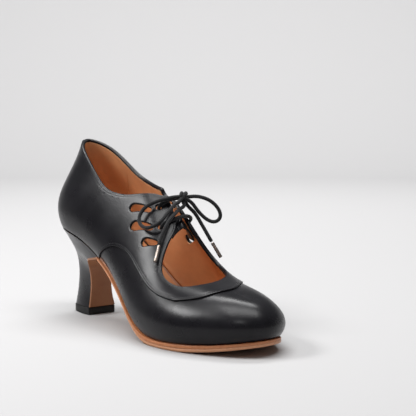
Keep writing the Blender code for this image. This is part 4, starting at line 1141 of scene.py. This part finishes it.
def slab(name, around, out, profile, top, under, spine, finish, closed):
    """A closed slab under the foot: an edge profile carried round the outline, with faces drawn to a spine.

    profile's rows are the distance in from the outline and the level from the underside, 0 to 1, of the
    edge from the top to the bottom. Inward of it both faces run straight to the spine, the line midway
    between both sides, held between its two ends.
    """
    profile = np.asarray(profile)
    count = len(around)
    first = feather_outline(around, out)
    other = feather_outline(np.mod(1 - around, 1.0), np.broadcast_to(out, (count,))[::-1])
    middle = (first + other) / 2
    order = np.argsort(middle[:, 0])
    at = np.clip(middle[:, 0], *spine)
    line = np.column_stack([at, np.interp(at, middle[order, 0], middle[order, 1])])
    lines = [feather_outline(around, out - inset) for inset, _ in profile]
    inward = np.array([0.12, 0.30, 0.55, 0.80, 1.0])
    top_rows = [lines[0] * (1 - s) + line * s for s in inward[::-1]]
    low_rows = [lines[-1] * (1 - s) + line * s for s in inward]
    plan = np.stack(top_rows + lines + low_rows, 1)
    levels = np.concatenate([np.ones(5), profile[:, 1], np.zeros(5)])
    high, low = top(plan[..., 0]), under(plan[..., 0])
    points = np.concatenate([plan, (low + (high - low) * levels)[..., None]], -1)
    rows = points.shape[1]
    faces = grid_faces(count, rows, wrap_rows=closed).tolist()
    if not closed:
        faces += [list(range(rows)) + list(range(count * rows - 1, (count - 1) * rows - 1, -1))]
    uv = np.stack(np.broadcast_arrays(around[:, None], levels[None]), -1).reshape(-1, 2)
    mesh = bpy.data.meshes.new(name)
    mesh.from_pydata(points.reshape(-1, 3).tolist(), [], faces)
    give_uv(mesh, uv)
    join_and_turn(mesh, 0.00002)
    return placed(name, mesh, finish)


def join_and_turn(mesh, near):
    """Join doubled points and turn all faces outward."""
    work = bmesh.new()
    work.from_mesh(mesh)
    bmesh.ops.remove_doubles(work, verts=work.verts, dist=near)
    bmesh.ops.dissolve_degenerate(work, edges=work.edges, dist=1e-6)
    bmesh.ops.recalc_face_normals(work, faces=work.faces)
    work.to_mesh(mesh)
    work.free()
    mesh.shade_smooth()
    mesh.set_sharp_from_angle(angle=math.radians(50))


def lofted(name, rings, finish):
    """A closed body through rings of equally many points, given as one array, with flat ends."""
    count, around = rings.shape[:2]
    faces = grid_faces(count, around, wrap_columns=True).tolist()
    faces += [list(range(around)), list(range((count - 1) * around, count * around))]
    mesh = bpy.data.meshes.new(name)
    mesh.from_pydata(rings.reshape(-1, 3).tolist(), [], faces)
    join_and_turn(mesh, 1e-7)
    return placed(name, mesh, finish)


def round_back(turn, back, front, half):
    """The heel's outline in plan at turns of half a round: a superellipse behind its straight front."""
    x = front - (front - back) * np.sin(turn) ** (2 / HEEL_ROUND)
    y = -half * np.sign(np.cos(turn)) * np.abs(np.cos(turn)) ** (2 / HEEL_ROUND)
    return np.stack([x, y], -1)


def heel_ring_at(levels):
    """Rings of the heel at levels: a round back, then the front line with its corners, as one array."""
    table = {name: column(HEEL, HEEL_COLUMNS, name) for name in HEEL_COLUMNS}
    back, front, half, follow = (
        smooth_through(table["level"], table[name], levels)[:, None] for name in HEEL_COLUMNS[1:])
    follow = np.clip(follow, 0, 1)
    end = around_at(place_along(HEEL_FRONT_AT))
    seat = feather_outline(np.linspace(end, -end, HEEL_BACK_POINTS), 0.0)
    turn = np.linspace(0, math.pi, HEEL_BACK_POINTS)[None]
    plan = round_back(turn, back, front, half) * (1 - follow[..., None]) + seat[None] * follow[..., None]
    low = LIFT_HIGH + GAP
    seat_z = bottom_height(seat[:, 0]) - GAP
    points = np.concatenate([plan, (low + levels[:, None] * (seat_z[None] - low))[..., None]], -1)
    share = np.linspace(0, 1, HEEL_FRONT_POINTS + 2)[1:-1, None]
    line = points[:, -1:] * (1 - share) + points[:, :1] * share
    return np.concatenate([points, line], 1)


def make_heel(black, tan, rubber):
    """The covered heel, the leather down its front and the top lift."""
    levels = np.linspace(0, 1, 72)
    rings = heel_ring_at(levels)
    block = lofted("heel_cover", rings, black)
    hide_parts("heel_block")
    face = np.concatenate([rings[:, :1], rings[:, HEEL_BACK_POINTS - 1:][:, ::-1]], axis=1)
    normals = unit(np.cross(np.gradient(face, axis=1), np.gradient(face, axis=0)))
    normals = normals * np.sign(normals[..., :1])
    near, far = face + normals * BREAST_CLEAR, face + normals * (GAP + BREAST_THICK)
    # Its material carries painted shade: a darker tan for the heel's shaded front face.
    breast = lofted("breast_leather", np.concatenate([near, far[:, ::-1]], 1), tan)
    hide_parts("breast_cover")
    plan = round_back(np.linspace(0, math.pi, HEEL_BACK_POINTS), LIFT_BACK, LIFT_FRONT, LIFT_HALF)
    share = np.linspace(0, 1, HEEL_FRONT_POINTS + 2)[1:-1, None]
    plan = np.concatenate([plan, plan[-1] * (1 - share) + plan[0] * share])
    centre = plan.mean(0)
    reach = np.linalg.norm(plan - centre, axis=1)[:, None]
    rings = np.stack([
        np.column_stack([plan - (plan - centre) / reach * inset, np.full(len(plan), z)])
        for inset, z in LIFT_PROFILE])
    lift = lofted("top_lift_rubber", rings, rubber)
    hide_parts("top_lift")


def make_sole(finish):
    """The leather sole with its square, softly rounded edge."""
    start = around_at(place_along(HEEL_FRONT_AT) + BREAST_THICK + GAP)
    share = (1 - np.cos(np.linspace(0, math.pi, 300))) / 2
    around = start + (0.5 * share + 0.5 * np.linspace(0, 1, 300)) * (1 - 2 * start)
    turn = np.linspace(0, math.pi / 2, 6)
    deep = 0.16
    upper = np.column_stack([SOLE_ROUND * (1 - np.sin(turn)), 1 - deep * (1 - np.cos(turn))])
    lower = np.column_stack([SOLE_UNDER_ROUND * (1 - np.cos(turn)), 0.28 * (1 - np.sin(turn))])
    profile = np.concatenate([upper, SOLE_NOTCH, lower])
    made = slab(
        "sole_leather", around, SOLE_PROUD, profile, lambda x: bottom_height(x) - GAP, sole_underside,
        (0.0, SPINE_TO), finish, False)
    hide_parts("outsole")


def make_sock(finish):
    """The insole with its sock, soft at its edge, from the seat to the toe."""
    around = np.linspace(0, 1, 420, endpoint=False)
    inset = WALL + GAP + room(around) + SOCK_EASE
    turn = np.linspace(0, math.pi / 2, 5)
    profile = np.column_stack([0.0005 * (1 - np.sin(turn)), 1 - 0.25 * (1 - np.cos(turn))])
    profile = np.concatenate([profile, [(0.0, 0.0)]])
    made = slab(
        "insole_sock", around, -inset, profile, lambda x: bottom_height(x) + INSOLE_THICK, bottom_height,
        (SPINE_FROM, SPINE_TO), finish, True)
    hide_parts("insole")


# The upper


def fold_share(far):
    """1 near the overlay's lower edge, where it lies over the vamp, and 0 behind that."""
    return 1 - soft_step(far, FOLD_FROM, FOLD_TO)


def make_upper_pieces(black, tan, thread):
    """The vamp, the overlay of quarters and apron, the lining, and the stitches on their edges."""
    ring = pattern_of(np.linspace(0, 1, 520, endpoint=False), np.zeros(520))
    mouth = mouth_outline()
    edge = overlay_edge()
    holes = []
    for side in (-1, 1):
        for along, high, long, wide, rise in SLOTS:
            holes.append(side_hole(along, high, side, slot_outline(long, wide), rise))
    turn = np.linspace(0, 2 * math.pi, 28, endpoint=False)
    circle = np.column_stack([np.cos(turn), np.sin(turn)]) * EYELET_WIDE / 2
    for side in (-1, 1):
        for along, high in EYELETS:
            holes.append(side_hole(along, high, side, circle, 0.0))
    cuts = [(mouth, True, -area_sign(mouth))] + [(hole, True, -area_sign(hole)) for hole in holes]

    start, end = last_of(edge[:1])[0][0], last_of(edge[-1:])[0][0]
    heel_part = pattern_of(np.mod(np.linspace(end - 1, start, 180)[1:-1], 1.0), np.zeros(178))
    quarter_outline = np.concatenate([heel_part, edge])
    back_seam = pattern_of(np.zeros(90), np.linspace(0.02, BACK_SEAM_TOP, 90))
    apron = find_on_last(
        np.column_stack([plan_rows(APRON_SEAM), (0.08, 0.08)]), np.tile([0.0, 0.0, 1.0], (2, 1)))
    apron_line = apron[0] + (apron[1] - apron[0]) * np.linspace(-0.2, 1.6, 30)[:, None]
    apron_seam = resample(apron_line, 0.0006, False)
    quarter_cut = cut_pattern(
        quarter_outline, [mouth] + holes, cuts + [(edge, False, 1)], [back_seam, apron_seam])
    seam_points = on_last(back_seam)
    apron_points = on_last(apron_seam)
    mouth_points = on_last(mouth)
    edge_points = on_last(edge)

    def quarter_outer(places, here):
        low, rim = distance_to(here, edge_points), distance_to(here, mouth_points)
        seams = np.minimum(distance_to(here, seam_points), distance_to(here, apron_points))
        second = groove(rim, COLLAR_ROW + FURROW_OUT, 0.5) * near_collar(here)
        return OVERLAY_FACE - stitched_edge(np.minimum(low, rim)) - groove(seams, 0.0, 1.2) - second

    def quarter_inner(places, here):
        over = fold_share(distance_to(here, edge_points))
        fold = 1 - soft_step(distance_to(here, mouth_points), RIM_FOLD - 0.0003, RIM_FOLD)
        return QUARTER_INNER + (UNDER_CLEAR - QUARTER_INNER) * over + (FOLD_FACE - QUARTER_INNER) * fold

    quarter = leather_piece(
        "quarter_leather", quarter_cut, [quarter_outline, mouth] + holes, quarter_outer, quarter_inner,
        QUARTER_ROLL, black)
    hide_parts("quarter", "upper")

    under = move_in(edge, UNDER_OVERLAY, False, 1)
    first, last = last_of(under[:1])[0][0], last_of(under[-1:])[0][0]
    front_part = pattern_of(np.linspace(first, last, 420), np.zeros(420))
    tail = under[::-1]
    tail = tail[(last_of(tail)[1] > 0.01)]
    vamp_outline = np.concatenate([front_part, tail])
    vamp_cut = cut_pattern(vamp_outline, [], [(front_part, False, 1)])
    vamp = leather_piece(
        "vamp_leather", vamp_cut, [vamp_outline], lambda places, here: np.zeros(len(here)),
        lambda places, here: np.full(len(here), VAMP_INNER), VAMP_ROLL, black)
    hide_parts("upper")

    wide_mouth = set_back(mouth, RIM_FOLD + 0.0001, -area_sign(mouth))
    wide_holes = [move_in(hole, LINING_BACK, True, -area_sign(hole)) for hole in holes]
    lining_seam = pattern_of(np.full(90, LINING_SEAM), np.linspace(0.05, 0.95, 90))
    lining_cut = cut_pattern(
        ring, [wide_mouth] + wide_holes,
        [(wide_mouth, True, -area_sign(mouth))] + [(hole, True, -area_sign(hole)) for hole in wide_holes],
        [lining_seam])
    lining_points = on_last(lining_seam)
    lining = leather_piece(
        "lining", lining_cut, [ring, wide_mouth] + wide_holes,
        lambda places, here: np.full(len(here), LINING_OUTER),
        lambda places, here: groove(distance_to(here, lining_points), 0.0, 1.4) - WALL, LINING_ROLL, tan)
    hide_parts("upper")

    row = move_in(edge, STITCH_IN, False, 1)
    stitch_along("edge_stitches", row, thread)
    row = set_back(mouth, STITCH_IN, -area_sign(mouth))
    stitch_along("rim_stitches", row, thread)
    row = set_back(mouth, COLLAR_ROW, -area_sign(mouth))
    place = on_last(row)
    on_collar = near_collar(place) > 0.5
    first = int(np.argmax(on_collar & ~np.roll(on_collar, 1)))
    row = np.roll(row, -first, 0)[:int(on_collar.sum())]
    stitch_along("collar_stitches", row, thread)
    for side in (-1, 1):
        row = trim(move_in(apron_seam, APRON_ROW, False, side), mouth, edge)
        stitch_along("apron_stitches_%d" % (side + 2), row, thread)


def near_collar(points):
    """1 within 9 mm below the collar's curve, behind the slit, and 0 elsewhere, for points of the last."""
    below = collar_height(points[:, 0], points[:, 1]) - points[:, 2]
    slit = float(place_along(COLLAR[-1][0]))
    behind = soft_step(-points[:, 0], -slit, 0.003 - slit)
    return (1 - soft_step(below, COLLAR_FROM, COLLAR_TO)) * behind


def trim(line, mouth, edge):
    """The part of a line that lies on the overlay and clear of its edge and of the mouth's rim."""
    points = on_last(line)
    rims = on_last(np.concatenate([mouth, edge]))
    clear = distance_to(points, rims) > TRIM_CLEAR
    return line[clear & (overlay_clear(points) > 0) & ~inside(line, mouth)]


def stitch_along(name, pattern, thread):
    """A row of stitches sunk a little into the overlay's face along a pattern line."""
    path, normals = layer(pattern, np.full(len(pattern), OVERLAY_FACE - GROOVE_DEEP))
    made = stitch_row(name, path, normals, thread)


def make_strap(black):
    """The strap across the top of the keyhole: under the wall at both ends, raised in the slit."""
    even = np.linspace(-1, 1, 81)
    shift = np.sign(even) * np.abs(even) ** BRIDGE_CROWD * BRIDGE_LONG / 2
    x, y = place_along(BRIDGE_AT) + SKEW * shift, BRIDGE_SIDE + shift
    place = find_on_last(np.column_stack([x, y, np.full(81, 0.08)]), np.tile([0.0, 0.0, 1.0], (81, 1)))
    point, normal = skin(*last_of(place))
    forward = unit(np.array([1.0, 0.0, 0.0]) - normal * normal[:, :1])
    lift = BRIDGE_RISE * np.cos(np.clip(shift / BRIDGE_SLIT, -1, 1) * math.pi / 2) ** 2
    deep = WALL + OVERLAY + 3 * GAP + STRAP_THICK
    base = point + normal * (lift - deep)[:, None]
    half, soft = BRIDGE_WIDE / 2, STRAP_THICK / 2
    turn = np.linspace(-math.pi / 2, math.pi / 2, 9)
    right = np.column_stack([half - soft + soft * np.cos(turn), soft + soft * np.sin(turn)])
    ring = np.concatenate([right, right[::-1] * (-1, 1)])
    rings = base[:, None] + ring[None, :, :1] * forward[:, None] + ring[None, :, 1:] * normal[:, None]
    made = lofted("strap_leather", rings, black)
    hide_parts("bridge_strap")


def make_back_tab(black):
    """The small reinforcement over the back seam, from below the collar's edge downward."""
    across, rise = np.linspace(-1, 1, 41), np.linspace(0, 1, 49)
    sides, rises = np.meshgrid(across, rise, indexing="ij")
    around = sides * BACK_TAB_HALF
    top = collar_crossing(np.mod(across * BACK_TAB_HALF, 1.0)) - TAB_TOP_IN
    round_end = 0.03 * (1 - np.sqrt(np.clip(1 - np.abs(across) ** 2.5, 0, 1)))
    low = BACK_TAB_LOW + round_end
    ups = low[:, None] + (top - low)[:, None] * rises
    point, normal = last_surface(around, ups), last_normals(around, ups)
    edge = np.minimum(1 - np.abs(sides), np.minimum(rises, 1 - rises) * 1.5)
    soft = np.sqrt(1 - (1 - np.clip(edge / 0.12, 0, 1)) ** 2)
    outer, inner = point + normal * (TAB_THICK * soft + 0.00005)[..., None], point + normal * 0.00002
    count = sides.size
    faces = grid_faces(41, 49)
    mesh = bpy.data.meshes.new("back_tab_leather")
    points = np.concatenate([outer.reshape(-1, 3), inner.reshape(-1, 3)])
    i = np.arange(41) * 49
    rim = np.concatenate([i, 40 * 49 + np.arange(1, 49), (i + 48)[::-1][1:], np.arange(48)[::-1][:-1]])
    side = np.stack([rim, np.roll(rim, -1), np.roll(rim, -1) + count, rim + count], -1)
    mesh.from_pydata(points.tolist(), [], np.concatenate([faces, faces[:, ::-1] + count, side]).tolist())
    join_and_turn(mesh, 1e-7)
    made = placed("back_tab_leather", mesh, black)
    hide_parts("back_tab")


# The lace


def route_points(route):
    """Points of a lace's route, as rows of x, y and z."""
    rows = np.array(route)
    return np.column_stack([place_along(rows[:, 0]), rows[:, 1] * BALL_HALF, rows[:, 2] * INSTEP_HEIGHT])


def smooth_path(rows, step):
    """Points a step apart along the smooth curve through rows."""
    knots = step_knots(rows)
    count = int(round(knots[-1] / step)) + 1
    return smooth_through(knots, rows, np.linspace(0, knots[-1], count))


def in_knot(places):
    """Points given from the knot's middle: along its axis, ahead of it, and up."""
    axis = np.array(KNOT_AXIS) / np.linalg.norm(KNOT_AXIS)
    ahead = np.cross(axis, (0.0, 0.0, 1.0))
    rows = np.array(places)
    rise = rows[:, 2:] * np.array((0.0, 0.0, 1.0))
    return route_points(KNOT_AT) + rows[:, :1] * axis + rows[:, 1:2] * ahead + rise


def lace_piece(name, route, node, finish, ahead=None, after=None):
    """A strand of the lace along its route, drawn on at either end where more points are given."""
    rows = route_points(route)
    rows = np.concatenate([part for part in (ahead, rows, after) if part is not None])
    made = tube(name, smooth_path(rows, 0.0003), LACE / 2, finish, 32, 0.08)
    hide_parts(node)
    return made, rows


def through_eyelet(index, side):
    """Two points inside the shoe below an eyelet, the nearer one first."""
    along, high = EYELETS[index]
    outline = side_hole(along, high, side, np.array([(0.0001, 0), (0, 0.0001), (-0.0001, 0)]), 0.0)
    point, normal = layer(outline[:1], np.zeros(1))
    return point[0] - normal[0] * 0.0012, point[0] - normal[0] * 0.0040


def make_laces(cotton, brass):
    """The two crossings through the eyelets, and the bow with its metal tips."""
    for index, (name, route) in enumerate((("lace_bar_upper", BAR_UPPER), ("lace_bar_lower", BAR_LOWER))):
        near, deep = through_eyelet(index, -1)
        far_near, far_deep = through_eyelet(index, 1)
        first, last = np.array([deep, near]), np.array([far_near, far_deep])
        lace_piece(name + "_cord", route[1:-1], name, cotton, first, last)
    axis = np.array(KNOT_AXIS) / np.linalg.norm(KNOT_AXIS)
    level = np.cross(axis, (0.0, 0.0, 1.0))
    turn = np.linspace(0, KNOT_TURNS, 90)[:, None]
    wrap = np.cos(turn * 2 * math.pi) * level + np.sin(turn * 2 * math.pi) * np.array((0.0, 0.0, 1.0))
    path = route_points(KNOT_AT) + wrap * KNOT_ROUND + axis * (turn - KNOT_TURNS / 2) * KNOT_PITCH
    knot = tube("lace_knot_wrap", path, LACE / 2, cotton, 32, 0.08)
    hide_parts("lace_knot")
    for name, route, enter in (
        ("lace_loop_outer", LOOP_OUTER, ENTER_LOOP_OUTER),
        ("lace_loop_inner", LOOP_INNER, ENTER_LOOP_INNER),
    ):
        made, rows = lace_piece(name + "_cord", route, name, cotton, in_knot(enter[:1]), in_knot(enter[1:]))
        declare(rows)
    for word, route, tip, enter in (
        ("outer", END_OUTER, TIP_OUTER, ENTER_END_OUTER),
        ("inner", END_INNER, TIP_INNER, ENTER_END_INNER),
    ):
        made, rows = lace_piece("lace_end_%s_cord" % word, route, "lace_end_" + word, cotton, in_knot(enter))
        ends = route_points(tip)
        share = np.linspace(0, 1, 60)
        path = ends[0] + (ends[1] - ends[0]) * share[:, None]
        dents = np.exp(-(((share - 0.2) / 0.03) ** 2)) + np.exp(-(((share - 0.32) / 0.03) ** 2))
        radius = AGLET / 2 * (1 - 0.10 * dents - 0.12 * np.clip((share - 0.9) / 0.1, 0, 1) ** 2)
        aglet = tube("aglet_%s_tube" % word, path, radius, brass, 40, 0.0, 0.12)
        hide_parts("aglet_" + word)
        declare(rows)


def declare(rows):
    """Smooth paths through a strand's rows, a coarse one and a fine one, which nothing uses further."""
    path = smooth_path(rows, 0.0035)
    fine = smooth_path(rows, 0.0005)


# The studio


def make_studio():
    """A round pale bowl of floor and wall, and soft lamps."""
    made, shader, tree = plain("studio_pale", FLOOR_COLOUR, 0.9)
    shader.inputs["Specular IOR Level"].default_value = 0.1
    turn = np.linspace(0, math.pi / 2, 14)
    reach = np.concatenate([[0.02, 0.5, 1.0, 1.5], 1.8 + 0.6 * np.sin(turn)])
    rise = np.concatenate([[0, 0, 0, 0], 0.6 * (1 - np.cos(turn))])
    around = np.linspace(0, 2 * math.pi, 97)[:-1]
    points = np.stack([
        reach[:, None] * np.cos(around) + 0.1, reach[:, None] * np.sin(around), rise[:, None] + 0 * around,
    ], -1)
    faces = grid_faces(len(reach), len(around), wrap_columns=True)
    mesh = bpy.data.meshes.new("studio_floor")
    mesh.from_pydata(points.reshape(-1, 3).tolist(), [], faces.tolist() + [list(range(len(around)))])
    join_and_turn(mesh, 1e-7)
    mesh.flip_normals()
    floor = bpy.data.objects.new("studio_floor", mesh)
    bpy.context.scene.collection.objects.link(floor)
    mesh.materials.append(made)
    for name, place, aim, size, power in LAMPS:
        lamp = bpy.data.lights.new(name, "AREA")
        lamp.shape = "RECTANGLE"
        lamp.size, lamp.size_y = size
        lamp.energy = power
        holder = bpy.data.objects.new(name, lamp)
        holder.location = place
        holder.rotation_euler = (Vector(aim) - Vector(place)).to_track_quat("-Z", "Y").to_euler()
        bpy.context.scene.collection.objects.link(holder)
    world = bpy.data.worlds.new("studio_air")
    world.use_nodes = True
    world.node_tree.nodes["Background"].inputs[0].default_value = (*WORLD_COLOUR, 1.0)
    world.node_tree.nodes["Background"].inputs[1].default_value = WORLD_STRENGTH
    bpy.context.scene.world = world
    bpy.context.scene.view_settings.view_transform = "Standard"


def make_camera():
    """The photo's camera: level, from ahead of the outer side and a little above."""
    turn, rise = math.radians(CAMERA_TURN), math.radians(CAMERA_RISE)
    back = np.array([math.sin(turn) * math.cos(rise), -math.cos(turn) * math.cos(rise), math.sin(rise)])
    data = bpy.data.cameras.new("camera")
    data.sensor_width = 36.0
    data.lens = CAMERA_LENS
    holder = bpy.data.objects.new("camera", data)
    holder.location = np.array(CAMERA_AIM) + back * CAMERA_FAR
    holder.rotation_euler = Vector(-back).to_track_quat("-Z", "Y").to_euler()
    bpy.context.scene.collection.objects.link(holder)
    bpy.context.scene.camera = holder


def main():
    """Dress the shoe."""
    make_camera()
    black = leather(
        "black_leather", (0.0058, 0.0054, 0.0068), (0.0090, 0.0084, 0.0104), 0.29, 800.0, 0.000016, 0.00028,
        0.22)
    tan = leather("tan_lining", (0.68, 0.335, 0.155), (0.58, 0.275, 0.125), 0.55, 900.0, 0.00003, 0.0003)
    sock = leather("tan_sock", (0.70, 0.355, 0.170), (0.61, 0.300, 0.140), 0.55, 900.0, 0.00003, 0.0003)
    # The heel breast's tan is darkened far below the lining's: painted shade, as the heel's front face stands
    # in shade.
    breast = leather("breast_tan_painted_shade", (0.34, 0.145, 0.065), (0.27, 0.112, 0.050), 0.5, 900.0, 0.00003, 0.0003)
    rubber = leather(
        "lift_rubber", (0.010, 0.010, 0.010), (0.015, 0.015, 0.015), 0.6, 2200.0, 0.00003, 0.00005, 0.3)
    thread = cloth("thread", (0.010, 0.010, 0.011), (0.026, 0.026, 0.028), 0.42)
    cotton = cloth("lace_cotton", (0.0075, 0.0075, 0.0080), (0.016, 0.016, 0.0175), 0.85)
    brass = metal("aglet_metal", (0.36, 0.31, 0.28), (0.20, 0.155, 0.125), 0.32)
    make_laces(cotton, brass)
    make_heel(black, breast, rubber)
    make_sole(sole_edge_leather("sole_leather"))
    make_sock(sock)
    make_strap(black)
    make_back_tab(black)
    make_upper_pieces(black, tan, thread)
    make_studio()


main()
